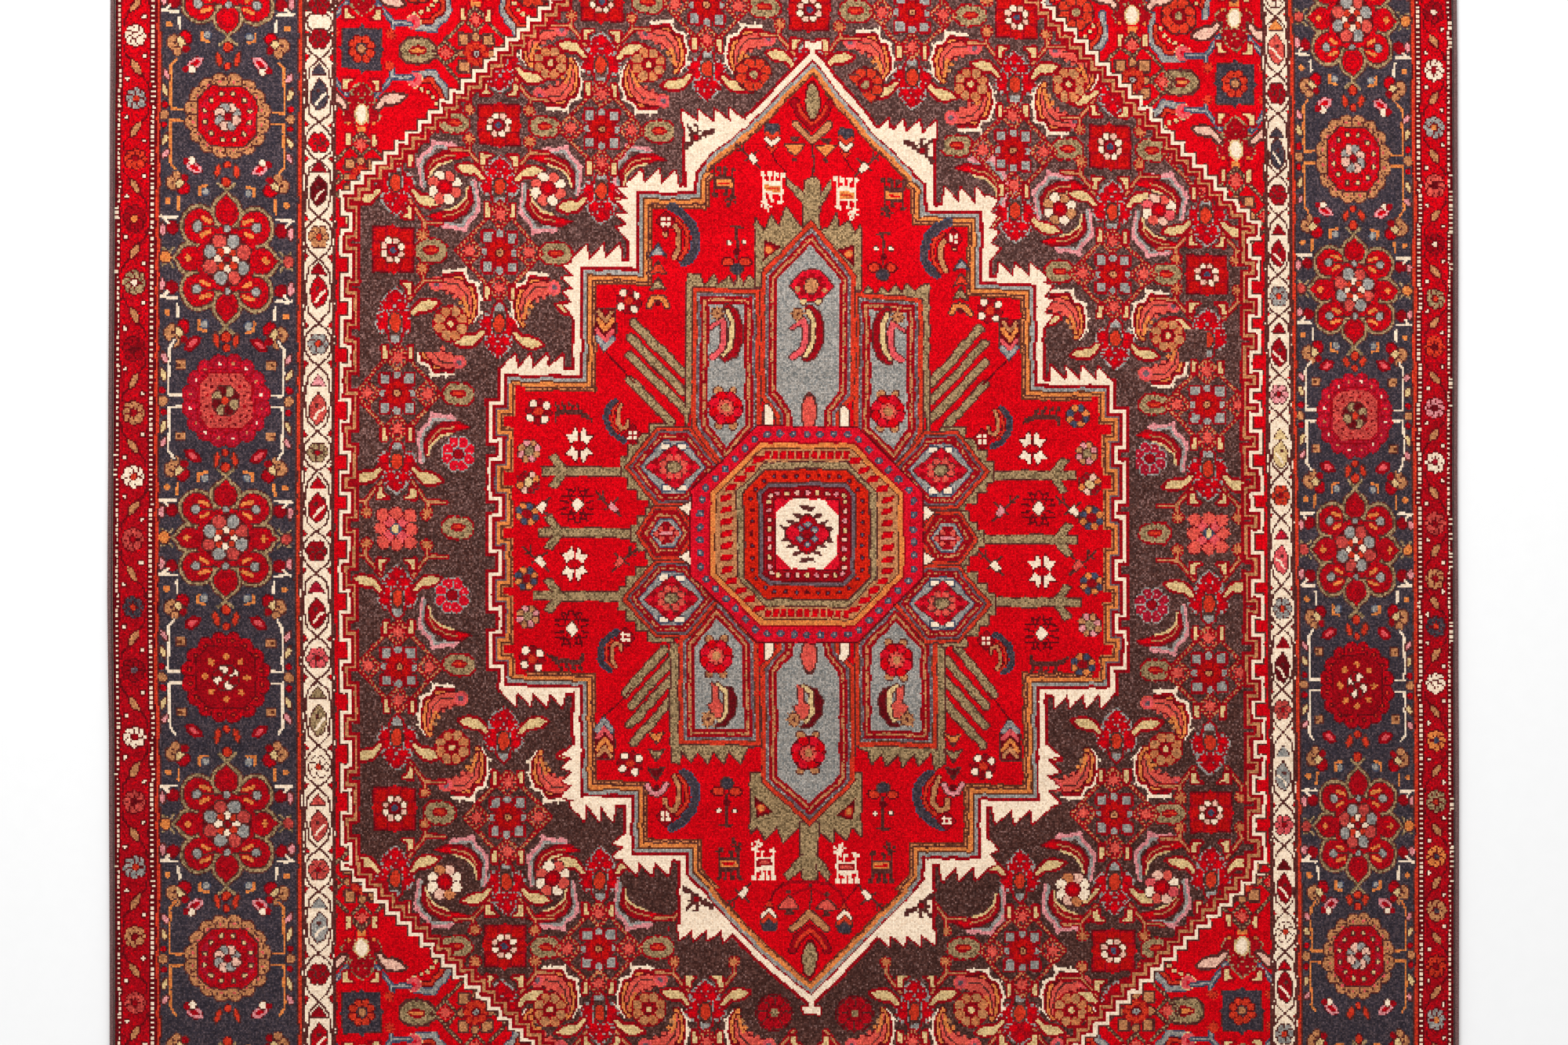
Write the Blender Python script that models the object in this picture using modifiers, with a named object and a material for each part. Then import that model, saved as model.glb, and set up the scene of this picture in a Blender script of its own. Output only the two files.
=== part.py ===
"""A hand-knotted Persian rug, lying flat.

One cloth carries the pile and runs on into two narrow flat-woven ends. A wool-wrapped selvedge is
bound to each long side. Metres, +Z up: the length runs along Y, the width along X, and the origin
is on the floor under the rug's middle.
"""

import math

import bmesh
import bpy

WIDTH = 2.0  # across both selvedges, before the bow of the sides
LENGTH = 3.0

WEB_THICKNESS = 0.0030  # the woven foundation, bare at the two ends
THICKNESS = 0.0105  # foundation and pile together
PILE_ROOT = 0.0010  # where the pile's block starts inside the foundation
PILE_SHOULDER = 0.0030  # how far the clipped pile rounds over at its edge
FLAT_END = 0.018  # bare flat weave past the last row of knots
PILE_INSET = 0.0010  # from the cloth's side to the pile's side

SELVEDGE_WIDTH = 0.0070
SELVEDGE_THICKNESS = 0.0075
SELVEDGE_SHOULDER = 0.0028
GAP = 0.0003  # between the selvedge and the cloth it is bound to

SHOULDER_STEPS = 3
STATION_PITCH = 0.1  # spacing of the outline's points along the length

# How far each side swells past half the width: (place along the length, swell).
LEFT_BOW = (
    (-1.50, -0.0015),
    (-0.65, 0.0),
    (-0.33, 0.0012),
    (-0.08, 0.0035),
    (0.13, 0.0023),
    (0.56, 0.0),
    (0.79, -0.0012),
    (1.50, 0.0010),
)
RIGHT_BOW = (
    (-1.50, 0.0),
    (-0.40, 0.0011),
    (-0.12, 0.0),
    (0.09, -0.0012),
    (0.38, 0.0),
    (0.68, -0.0012),
    (0.79, -0.0024),
    (1.50, -0.0005),
)

WOOL_RED = (0.19, 0.035, 0.028, 1.0)
WOOL_BROWN = (0.13, 0.075, 0.062, 1.0)


def clear_scene():
    for obj in list(bpy.data.objects):
        bpy.data.objects.remove(obj, do_unlink=True)


def new_collection(name):
    collection = bpy.data.collections.new(name)
    bpy.context.scene.collection.children.link(collection)
    return collection


def wool(name, colour):
    material = bpy.data.materials.new(name)
    material.use_nodes = True
    shader = material.node_tree.nodes["Principled BSDF"]
    shader.inputs["Base Color"].default_value = colour
    shader.inputs["Roughness"].default_value = 0.9
    shader.inputs["Metallic"].default_value = 0.0
    return material


def bow_at(points, y):
    """The side's swell at y, eased from one named point to the next."""
    for (start, first), (end, last) in zip(points, points[1:]):
        if y <= end:
            share = (y - start) / (end - start)
            return first + (last - first) * (1 - math.cos(math.pi * share)) / 2
    return points[-1][1]


def stations(half_length):
    """Places along the length, from one end to the other, about STATION_PITCH apart."""
    count = round(2 * half_length / STATION_PITCH)
    return [half_length * (2 * i / count - 1) for i in range(count + 1)]


def left_side(y, inset):
    return -(WIDTH / 2 + bow_at(LEFT_BOW, y) - inset)


def right_side(y, inset):
    return WIDTH / 2 + bow_at(RIGHT_BOW, y) - inset


def outline(left, right, half_length):
    """A closed ring of (x, y), counter-clockwise, between two sides given as functions of y."""
    along = stations(half_length)
    up = [(right(y), y) for y in along]
    down = [(left(y), y) for y in reversed(along)]
    return up + down


def slab(name, ring, bottom, top):
    """A closed flat piece with that outline."""
    sheet = bmesh.new()
    face = sheet.faces.new([sheet.verts.new((x, y, bottom)) for x, y in ring])
    raised = bmesh.ops.extrude_face_region(sheet, geom=[face])["geom"]
    corners = [item for item in raised if isinstance(item, bmesh.types.BMVert)]
    bmesh.ops.translate(sheet, verts=corners, vec=(0.0, 0.0, top - bottom))
    bmesh.ops.recalc_face_normals(sheet, faces=sheet.faces)
    mesh = bpy.data.meshes.new(name)
    sheet.to_mesh(mesh)
    sheet.free()
    return bpy.data.objects.new(name, mesh)


def round_top_edges(obj, top, width):
    """Rounds over the rim of the upper face with a weighted bevel."""
    mesh = obj.data
    weights = mesh.attributes.new("bevel_weight_edge", "FLOAT", "EDGE")
    for edge in mesh.edges:
        on_rim = all(abs(mesh.vertices[i].co.z - top) < 1e-6 for i in edge.vertices)
        weights.data[edge.index].value = float(on_rim)
    bevel = obj.modifiers.new("shoulder", "BEVEL")
    bevel.limit_method = "WEIGHT"
    bevel.width = width
    bevel.segments = SHOULDER_STEPS


def make_pile_block():
    inset = SELVEDGE_WIDTH + GAP + PILE_INSET
    ring = outline(
        lambda y: left_side(y, inset),
        lambda y: right_side(y, inset),
        LENGTH / 2 - FLAT_END,
    )
    block = slab("pile_block", ring, PILE_ROOT, THICKNESS)
    round_top_edges(block, THICKNESS, PILE_SHOULDER)
    return block


def make_cloth(collection, helpers, material):
    """The foundation with its flat ends, joined to the pile that stands on it."""
    pile = make_pile_block()
    pile.hide_render = True
    pile.display_type = "WIRE"
    helpers.objects.link(pile)

    inset = SELVEDGE_WIDTH + GAP
    ring = outline(lambda y: left_side(y, inset), lambda y: right_side(y, inset), LENGTH / 2)
    cloth = slab("rug_cloth", ring, 0.0, WEB_THICKNESS)
    cloth.data.materials.append(material)
    collection.objects.link(cloth)
    join = cloth.modifiers.new("pile", "BOOLEAN")
    join.operation = "UNION"
    join.object = pile
    return cloth


def make_selvedge(name, left, right, collection, material):
    """A wrapped side binding, flat underneath and rounded on top."""
    binding = slab(name, outline(left, right, LENGTH / 2), 0.0, SELVEDGE_THICKNESS)
    round_top_edges(binding, SELVEDGE_THICKNESS, SELVEDGE_SHOULDER)
    binding.data.materials.append(material)
    collection.objects.link(binding)
    return binding


def main():
    clear_scene()
    rug = new_collection("persian_rug")
    helpers = new_collection("helpers")
    make_cloth(rug, helpers, wool("pile_wool", WOOL_RED))
    binding_wool = wool("binding_wool", WOOL_BROWN)
    make_selvedge(
        "selvedge_left",
        lambda y: left_side(y, 0.0),
        lambda y: left_side(y, SELVEDGE_WIDTH),
        rug,
        binding_wool,
    )
    make_selvedge(
        "selvedge_right",
        lambda y: right_side(y, SELVEDGE_WIDTH),
        lambda y: right_side(y, 0.0),
        rug,
        binding_wool,
    )


main()
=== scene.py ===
"""A hand-knotted Persian rug, seen from straight above.

The pattern is drawn on a loom chart of one wool to a knot. The chart becomes the clipped pile of
six closed blocks that together make the cloth, with flat-woven ends and wool-wrapped selvedges.
"""

import math

import bmesh
import bpy
import numpy as np
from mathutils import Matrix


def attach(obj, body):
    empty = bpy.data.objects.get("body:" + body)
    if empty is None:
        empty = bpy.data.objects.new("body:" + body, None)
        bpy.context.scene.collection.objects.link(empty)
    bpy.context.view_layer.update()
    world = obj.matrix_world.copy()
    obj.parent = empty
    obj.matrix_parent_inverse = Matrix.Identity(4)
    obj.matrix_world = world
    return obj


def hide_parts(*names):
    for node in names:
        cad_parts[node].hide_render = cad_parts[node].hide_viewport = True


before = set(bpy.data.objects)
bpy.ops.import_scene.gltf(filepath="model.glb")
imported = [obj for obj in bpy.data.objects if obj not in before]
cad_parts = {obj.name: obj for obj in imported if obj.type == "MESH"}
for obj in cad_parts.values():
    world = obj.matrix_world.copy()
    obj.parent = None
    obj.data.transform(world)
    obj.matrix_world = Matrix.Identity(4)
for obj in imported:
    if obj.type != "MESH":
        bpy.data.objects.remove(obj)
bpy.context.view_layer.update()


# ---------------------------------------------------------------- wool colours

# Each dyed wool: its colour as clipped pile, and the lighter or darker tufts spun in with it.
WOOLS = {
    "charcoal": ((0.325, 0.212, 0.196), (0.550, 0.400, 0.375)),
    "umber": ((0.278, 0.158, 0.138), (0.420, 0.270, 0.240)),
    "red": ((0.900, 0.010, 0.070), (0.80, 0.01, 0.07)),
    "scarlet": ((0.810, 0.070, 0.060), (0.70, 0.03, 0.05)),
    "crimson": ((0.670, 0.032, 0.088), (0.56, 0.04, 0.085)),
    "maroon": ((0.460, 0.050, 0.085), (0.36, 0.06, 0.08)),
    "brown": ((0.350, 0.150, 0.135), (0.42, 0.23, 0.21)),
    "ivory": ((0.998, 0.900, 0.790), (0.94, 0.82, 0.70)),
    "blue": ((0.685, 0.650, 0.615), (0.51, 0.51, 0.50)),
    "olive": ((0.715, 0.585, 0.420), (0.43, 0.34, 0.23)),
    "flame": ((0.890, 0.240, 0.140), (0.79, 0.18, 0.11)),
    "vermilion": ((0.880, 0.150, 0.060), (0.78, 0.09, 0.05)),
    "orange": ((0.950, 0.560, 0.280), (0.90, 0.47, 0.24)),
    "tan": ((0.830, 0.555, 0.360), (0.69, 0.43, 0.28)),
    "navy": ((0.228, 0.200, 0.234), (0.36, 0.30, 0.32)),
    "coral": ((0.940, 0.370, 0.310), (0.88, 0.30, 0.26)),
    "pink": ((0.950, 0.620, 0.620), (0.87, 0.48, 0.50)),
    "rose": ((0.920, 0.070, 0.160), (0.82, 0.04, 0.13)),
    "cream": ((0.925, 0.790, 0.560), (0.83, 0.67, 0.45)),
    "mauve": ((0.480, 0.390, 0.410), (0.36, 0.28, 0.31)),
    "peach": ((0.980, 0.770, 0.670), (0.90, 0.66, 0.58)),
    "slate": ((0.310, 0.330, 0.420), (0.22, 0.23, 0.31)),
    "hot_pink": ((0.960, 0.370, 0.380), (0.89, 0.29, 0.32)),
    "madder": ((0.740, 0.040, 0.100), (0.60, 0.035, 0.085)),
    "old_rose": ((0.740, 0.100, 0.190), (0.60, 0.07, 0.14)),
    "brick": ((0.830, 0.300, 0.270), (0.70, 0.22, 0.20)),
    "amber": ((0.860, 0.520, 0.320), (0.74, 0.41, 0.25)),
    "bark": ((0.450, 0.230, 0.150), (0.36, 0.16, 0.11)),
}
WOOL_NAMES = list(WOOLS)
CODE = {name: number for number, name in enumerate(WOOL_NAMES)}


# ------------------------------------------------------------------- the chart

# The rug is drawn in units of about one knot, 2.44 mm, from the medallion's middle, Y towards the
# top end. The medallion's middle lies 38 mm right of the rug's.
COLUMNS = 816
ROWS = 1216
BLOCK = 4  # knots to the side of one face of the pile
LEFT_EDGE = -422.4
RIGHT_EDGE = 391.0
END_EDGE = 607.0

# The weaver's rows lean: (row, rise for each unit to the left).
LEAN = ((-607, 0), (-250, 0.003), (-150, -0.004), (-50, -0.009), (60, -0.011), (100, -0.017),
        (160, -0.031), (205, -0.045), (241, -0.040), (330, -0.040), (607, 0))
# How far the right-hand border drifts outwards: (row, drift). The drift grows from one place across
# the rug and fades again towards the edge.
DRIFT = ((-607, 2.0), (-250, 2.2), (0, 0.8), (150, -1.0), (320, -2.4), (607, -2.4))
DRIFT_START = 150
DRIFT_GROWTH = 130
DRIFT_FADE = 90
# A hand-drawn line wavers by half a knot or so: (knots from one bump to the next, size).
WAVER = ((5, 0.45), (17, 0.5))
# How much further than its box a motif's knots are looked for.
SLACK = 5
LEAN_SLACK = 0.05
CHART_SEED = 11


def eased(points, value):
    """What a table of (place, amount) gives at a place between its own."""
    return np.interp(value, [p[0] for p in points], [p[1] for p in points])


def soft_noise(rng, pitch):
    """Smooth noise over the chart, between -1 and 1, with bumps about `pitch` knots apart."""
    rows, columns = ROWS // pitch + 3, COLUMNS // pitch + 3
    grid = rng.uniform(-1, 1, (rows, columns))
    r = np.arange(ROWS) / pitch
    c = np.arange(COLUMNS) / pitch
    r0, c0 = r.astype(int), c.astype(int)
    rf, cf = r - r0, c - c0
    rf, cf = rf * rf * (3 - 2 * rf), cf * cf * (3 - 2 * cf)
    top = grid[r0][:, c0] * (1 - cf) + grid[r0][:, c0 + 1] * cf
    bottom = grid[r0 + 1][:, c0] * (1 - cf) + grid[r0 + 1][:, c0 + 1] * cf
    return top * (1 - rf)[:, None] + bottom * rf[:, None]


class Loom:
    """The knots: where each one lies in the drawing, and the number of its wool."""

    def __init__(self):
        rng = np.random.default_rng(CHART_SEED)
        column = (np.arange(COLUMNS) + 0.5) / COLUMNS
        row = (np.arange(ROWS) + 0.5) / ROWS
        self.flat_x = LEFT_EDGE + (RIGHT_EDGE - LEFT_EDGE) * column
        self.flat_y = END_EDGE * (2 * row - 1)
        x, y = np.meshgrid(self.flat_x, self.flat_y)
        growth = np.clip((x - DRIFT_START) / DRIFT_GROWTH, 0, 1)
        drift = growth * np.clip((RIGHT_EDGE - x) / DRIFT_FADE, 0, 1) * eased(DRIFT, y)
        self.x = x - drift
        self.y = y - x * eased(LEAN, y)
        for place in (self.x, self.y):
            for pitch, size in WAVER:
                place += size * soft_noise(rng, pitch)
        self.knots = np.full((ROWS, COLUMNS), CODE["charcoal"], np.uint8)
        self.speckle = rng.uniform(0, 1, (ROWS, COLUMNS))
        self.luck = rng.uniform(0, 1, (ROWS, COLUMNS))

    def slices(self, low_x, high_x, low_y, high_y):
        """The rows and columns whose knots can lie in that box of the drawing."""
        tilt = max(abs(low_x), abs(high_x)) * LEAN_SLACK + SLACK
        first_column = np.searchsorted(self.flat_x, low_x - SLACK)
        last_column = np.searchsorted(self.flat_x, high_x + SLACK)
        first_row = np.searchsorted(self.flat_y, low_y - tilt)
        last_row = np.searchsorted(self.flat_y, high_y + tilt)
        return slice(first_row, last_row), slice(first_column, last_column)

    def dye(self, mask, wool, where=(slice(None), slice(None))):
        """The masked knots in that wool, of all knots or of the ones in a window."""
        self.knots[where][mask] = CODE[wool]

    def redye(self, old, new, share):
        """Some knots of one wool, by chance, in another: `share` is a number or one for each knot."""
        self.knots[(self.knots == CODE[old]) & (self.luck < share)] = CODE[new]

    def outline_depth(self, points, reach=30.0):
        """Distance to a long closed outline: positive inside, negative outside, exact up to `reach`.

        Past a line's ends it is measured square to the line, so bands keep their corners.
        """
        inside = np.zeros(self.knots.shape, bool)
        nearest = np.full(self.knots.shape, reach)
        for (x0, y0), (x1, y1) in zip(points, points[1:] + points[:1]):
            low_x, high_x, low_y, high_y = min(x0, x1), max(x0, x1), min(y0, y1), max(y0, y1)
            near = self.slices(low_x - reach, high_x + reach, low_y - reach, high_y + reach)
            away = square_distance(self.x[near], self.y[near], (x0, y0), (x1, y1))
            nearest[near] = np.minimum(nearest[near], away)
            if y0 != y1:
                left = self.slices(LEFT_EDGE, high_x, low_y, high_y)
                x, y = self.x[left], self.y[left]
                crossing = (x1 - x0) * (y - y0) / (y1 - y0) + x0
                inside[left] ^= ((y0 > y) != (y1 > y)) & (x < crossing)
        return np.where(inside, nearest, -nearest)


def polygon_depth(u, v, points):
    """Distance to a closed outline: positive inside, negative outside."""
    inside = np.zeros(u.shape, bool)
    nearest = np.full(u.shape, 1e9)
    for (u0, v0), (u1, v1) in zip(points, points[1:] + points[:1]):
        crosses = (v0 > v) != (v1 > v)
        if v1 != v0:
            inside ^= crosses & (u < (u1 - u0) * (v - v0) / (v1 - v0) + u0)
        nearest = np.minimum(nearest, segment_distance(u, v, (u0, v0), (u1, v1)))
    return np.where(inside, nearest, -nearest)


def segment_distance(u, v, start, end):
    """How far each knot lies from a stretch of line."""
    du, dv = end[0] - start[0], end[1] - start[1]
    length = du * du + dv * dv
    share = 0.0 if length == 0 else np.clip(((u - start[0]) * du + (v - start[1]) * dv) / length, 0, 1)
    return np.hypot(u - start[0] - share * du, v - start[1] - share * dv)


def square_distance(u, v, start, end):
    """The same, measured along the line or square to it, whichever is more."""
    du, dv = end[0] - start[0], end[1] - start[1]
    length = math.hypot(du, dv)
    if length < 1e-6:
        return np.maximum(np.abs(u - start[0]), np.abs(v - start[1]))
    along = ((u - start[0]) * du + (v - start[1]) * dv) / length
    off = np.abs((u - start[0]) * dv - (v - start[1]) * du) / length
    return np.maximum(off, np.maximum(-along, along - length))


def grown(points, by):
    """A clockwise or anticlockwise outline with each side moved outwards by so much."""
    area = sum(a[0] * b[1] - b[0] * a[1] for a, b in zip(points, points[1:] + points[:1]))
    by = math.copysign(by, area)
    lines = []
    for (x0, y0), (x1, y1) in zip(points, points[1:] + points[:1]):
        length = math.hypot(x1 - x0, y1 - y0)
        nx, ny = (y1 - y0) / length, (x0 - x1) / length
        lines.append((nx, ny, nx * x0 + ny * y0 + by))
    corners = []
    for (a, b, c), (d, e, f) in zip(lines[-1:] + lines[:-1], lines):
        cross = a * e - b * d
        corners.append(((c * e - b * f) / cross, (a * f - c * d) / cross))
    return corners


class Pen:
    """Draws in a motif's own coordinates, which may be turned, stretched or mirrored."""

    def __init__(self, loom, x, y, turn=0.0, sx=1.0, sy=1.0):
        self.loom, self.x, self.y, self.sx, self.sy, self.turn = loom, x, y, sx, sy, turn
        self.cos, self.sin = math.cos(math.radians(turn)), math.sin(math.radians(turn))

    def at(self, u, v, turn=0.0, sx=1.0, sy=1.0):
        """A pen at (u, v) of this one's drawing."""
        x, y = self.out(u, v)
        flip = -1 if self.sx * self.sy < 0 else 1
        return Pen(self.loom, x, y, self.turn + flip * turn, self.sx * sx, self.sy * sy)

    def quarters(self, sides=(1, -1)):
        """Pens on the same spot for the four quarters of a motif, or for the two on one side."""
        return [self.at(0, 0, 0, su, sv) for su in sides for sv in (1, -1)]

    def out(self, u, v):
        """Where (u, v) lies in the rug's drawing."""
        u, v = u * self.sx, v * self.sy
        return self.x + u * self.cos - v * self.sin, self.y + u * self.sin + v * self.cos

    def window(self, low, high, margin):
        """The knots round a box of the motif, and each one's place in the motif's coordinates."""
        corners = [self.out(u, v) for u in (low[0], high[0]) for v in (low[1], high[1])]
        xs, ys = [c[0] for c in corners], [c[1] for c in corners]
        where = self.loom.slices(min(xs) - margin, max(xs) + margin, min(ys) - margin, max(ys) + margin)
        dx, dy = self.loom.x[where] - self.x, self.loom.y[where] - self.y
        u = (dx * self.cos + dy * self.sin) / self.sx
        v = (dy * self.cos - dx * self.sin) / self.sy
        return where, u, v

    def window_round(self, points, margin):
        """The same round an outline or a line of the motif."""
        us, vs = zip(*points)
        return self.window((min(us), min(vs)), (max(us), max(vs)), margin)

    def lay(self, where, depth, wool, rim, rim_width):
        """A shape in one wool, with a rim in another round it, by how deep each knot lies in it."""
        if rim:
            self.loom.dye(depth > -rim_width, rim, where)
        if wool:
            self.loom.dye(depth > 0, wool, where)

    def disc(self, u, v, r, wool, rim=None, rim_width=1.0, r2=None):
        """A disc, or an ellipse of half height `r2`."""
        r2 = r2 or r
        where, us, vs = self.window((u - r, v - r2), (u + r, v + r2), rim_width)
        away = np.hypot((us - u) / r, (vs - v) / r2)
        self.lay(where, (1 - away) * min(r, r2), wool, rim, rim_width)

    def poly(self, points, wool, rim=None, rim_width=1.0):
        where, u, v = self.window_round(points, rim_width)
        self.lay(where, polygon_depth(u, v, list(points)), wool, rim, rim_width)

    def beads(self, count, radius, phase, size, wools, rim=None, rim_width=1.0, wide=1.0, high=1.0):
        """Discs round a circle, or an ellipse, in one wool or in several by turns."""
        wools = (wools,) if isinstance(wools, str) else wools
        for k, (u, v, _) in enumerate(ring(count, radius, phase)):
            self.disc(u * wide, v * high, size, wools[k % len(wools)], rim, rim_width)

    def box(self, u, v, half_u, half_v, wool, rim=None, rim_width=1.0):
        corners = [(u - half_u, v - half_v), (u + half_u, v - half_v)]
        corners += [(u + half_u, v + half_v), (u - half_u, v + half_v)]
        self.poly(corners, wool, rim, rim_width)

    def path(self, points, width, wool, rim=None, rim_width=1.0):
        """A line through the points, with round ends."""
        where, u, v = self.window_round(points, width / 2 + rim_width)
        near = np.minimum.reduce([segment_distance(u, v, a, b) for a, b in zip(points, points[1:])])
        self.lay(where, width / 2 - near, wool, rim, rim_width)

    def chart(self, rows, wools, knot):
        """A small figure charted one letter to a knot, its middle at the pen."""
        high, wide = len(rows), max(len(row) for row in rows)
        half_u, half_v = wide * knot / 2, high * knot / 2
        where, u, v = self.window((-half_u, -half_v), (half_u, half_v), 0)
        column = np.floor((u + half_u) / knot).astype(int)
        row = np.floor((half_v - v) / knot).astype(int)
        on = (column >= 0) & (column < wide) & (row >= 0) & (row < high)
        letters = np.array([list(line.ljust(wide)) for line in rows])
        found = np.where(on, letters[np.clip(row, 0, high - 1), np.clip(column, 0, wide - 1)], " ")
        for letter, wool in wools.items():
            self.loom.dye(found == letter, wool, where)


def ring(count, radius, phase):
    """(u, v, angle in degrees) of places round a circle."""
    for k in range(count):
        angle = phase + 360 * k / count
        yield radius * math.cos(math.radians(angle)), radius * math.sin(math.radians(angle)), angle


# --------------------------------------------------------------------- borders

# Distances in from the rug's edge to the stripes of its border. The right-hand side is narrower.
WIDE = {"outer_dots": 2.0, "guard": (4.0, 21.0), "inner_dots": 23.0, "flame": 26.4,
        "navy": (28.2, 110.8), "orange": 112.4, "ivory": (114.6, 133.6), "steps": (137.3, 144.3)}
NARROW = {"outer_dots": 1.7, "guard": (3.5, 18.5), "inner_dots": 20.4, "flame": 23.2,
          "navy": (24.9, 94.0), "orange": 95.4, "ivory": (97.3, 112.7), "steps": (117.3, 124.3)}
SIDES = {"left": WIDE, "right": NARROW, "top": WIDE, "bottom": WIDE}
DOT_PITCH = 3.03
DOT_HALF = 0.95
DOT_SHARE = 0.46
BROWN_LINE = 1.1  # the brown line inside the ivory guard


def middle(band):
    return (band[0] + band[1]) / 2


def side_pen(loom, side, depth, along, across=1.0):
    """A pen whose first axis runs into the rug from that side, and whose second runs along it."""
    if side == "left":
        return Pen(loom, LEFT_EDGE + depth, along, 0, across, 1)
    if side == "right":
        return Pen(loom, RIGHT_EDGE - depth, along, 0, -across, 1)
    if side == "top":
        return Pen(loom, along, END_EDGE - depth, -90, across, 1)
    return Pen(loom, along, depth - END_EDGE, 90, across, -1)


def border_sides(loom):
    """For each side: the knots nearest to it, their depth in from the edge and their place along it."""
    depths = {
        "left": loom.x - LEFT_EDGE,
        "right": RIGHT_EDGE - loom.x,
        "top": END_EDGE - loom.y,
        "bottom": loom.y + END_EDGE,
    }
    shares = np.stack([depths[side] / SIDES[side]["ivory"][1] for side in depths])
    nearest = shares.argmin(axis=0)
    for number, side in enumerate(depths):
        along = loom.y if side in ("left", "right") else loom.x
        yield side, nearest == number, depths[side], along


def dye_stripes(loom):
    for side, here, depth, along in border_sides(loom):
        stripe = SIDES[side]

        def band(low, high, wool):
            loom.dye(here & (depth > low) & (depth <= high), wool)

        band(-9, stripe["navy"][0], "maroon")
        band(*stripe["guard"], "red")
        for centre in (stripe["outer_dots"], stripe["inner_dots"]):
            dots = (np.abs(depth - centre) < DOT_HALF) & (along / DOT_PITCH % 1 < DOT_SHARE)
            loom.dye(here & dots, "ivory")
        band(stripe["flame"] - 0.8, stripe["flame"] + 0.9, "flame")
        band(stripe["flame"] + 1.0, stripe["navy"][0], "brown")
        band(*stripe["navy"], "navy")
        band(stripe["navy"][1], stripe["ivory"][0], "brown")
        band(stripe["orange"] - 0.5, stripe["orange"] + 1.1, "flame")
        band(*stripe["ivory"], "ivory")
        band(stripe["ivory"][1], stripe["ivory"][1] + BROWN_LINE, "brown")


def rosette(pen, radius, petals, heart, rim, petal, count=8, phase=22.5):
    """Petals round a heart, in one wool or alternating. `petal` is their size as a share."""
    pen.beads(count, radius * (1 - petal * 0.95), phase, radius * petal, petals, rim, 0.7)
    pen.disc(0, 0, radius * 0.27, heart, rim, 0.6)


def leaf(pen, length, width, wool, rim="brown", rim_width=0.9):
    half, side = length / 2, width / 2
    outline = [(-half, 0), (-half * 0.4, side), (half * 0.5, side * 0.8), (half, 0)]
    outline += [(half * 0.4, -side), (-half * 0.5, -side * 0.8)]
    pen.poly(outline, wool, rim, rim_width)


# The outer guard's rosettes, from the top of the photograph down: (place, petals, heart).
LEFT_GUARD = ((302, "ivory", "ivory"), (264, "blue", "flame"), (227, "flame", "crimson"),
              (191, "crimson", "orange"), (152, "olive", "ivory"), (112, "crimson", "maroon"),
              (73, "tan", "crimson"), (34, "ivory", "flame"), (-4, "coral", "crimson"),
              (-45, "navy", "flame"), (-83, "crimson", "mauve"), (-124, "ivory", "crimson"),
              (-163, "coral", "maroon"), (-203, "blue", "flame"), (-245, "tan", "crimson"),
              (-285, "coral", "crimson"))
RIGHT_GUARD = ((316, "crimson", "ivory"), (281, "ivory", "crimson"), (246, "blue", "orange"),
               (211, "coral", "maroon"), (175, "crimson", "ivory"), (142, "olive", "flame"),
               (113, "flame", "maroon"), (76, "pink", "maroon"), (43, "ivory", "rose"),
               (6, "coral", "crimson"), (-28, "tan", "crimson"), (-57, "navy", "flame"),
               (-91, "ivory", "ivory"), (-126, "orange", "slate"), (-163, "olive", "flame"),
               (-196, "orange", "navy"), (-229, "tan", "navy"), (-263, "flame", "crimson"),
               (-295, "blue", "orange"))
GUARD_TURNS = (("ivory", "flame"), ("coral", "crimson"), ("tan", "maroon"), ("blue", "flame"))


def carried_on(known, end, pitch, turns):
    """The same motifs on past the ones that show, out to `end` each way."""
    places = list(known)
    while places[0][0] + pitch < end:
        places.insert(0, (places[0][0] + pitch, *turns[len(places) % len(turns)]))
    while places[-1][0] - pitch > -end:
        places.append((places[-1][0] - pitch, *turns[len(places) % len(turns)]))
    return places


def lean_at(x, y):
    """The drawing's own row for something seen at (x, y)."""
    return y - x * float(eased(LEAN, y))


def guard_run(loom, side, places, scale):
    centre = middle(SIDES[side]["guard"])
    for k, (along, petals, heart) in enumerate(places):
        pen = side_pen(loom, side, centre, along, scale)
        rosette(pen, 6.6, petals, heart, "maroon", 0.37, phase=0)
        if k + 1 == len(places):
            break
        gap = (places[k + 1][0] - along) / 2
        slant = 1 if k % 2 else -1
        between = side_pen(loom, side, centre, along + gap, scale)
        for end in (-1, 1):
            vine = [(slant * end * 7.3, end * abs(gap) - end * 6), (slant * end * 7, end * 9)]
            vine += [(slant * end * 4, end * 5)]
            between.path(vine, 1.2, "maroon")
            between.disc(-slant * end * 5.5, end * 7, 1.1, "ivory", "maroon", 0.9)
        leaf(between.at(0, 0, 90 - slant * 33), 10.5, 3.8, "tan", "maroon")


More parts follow.
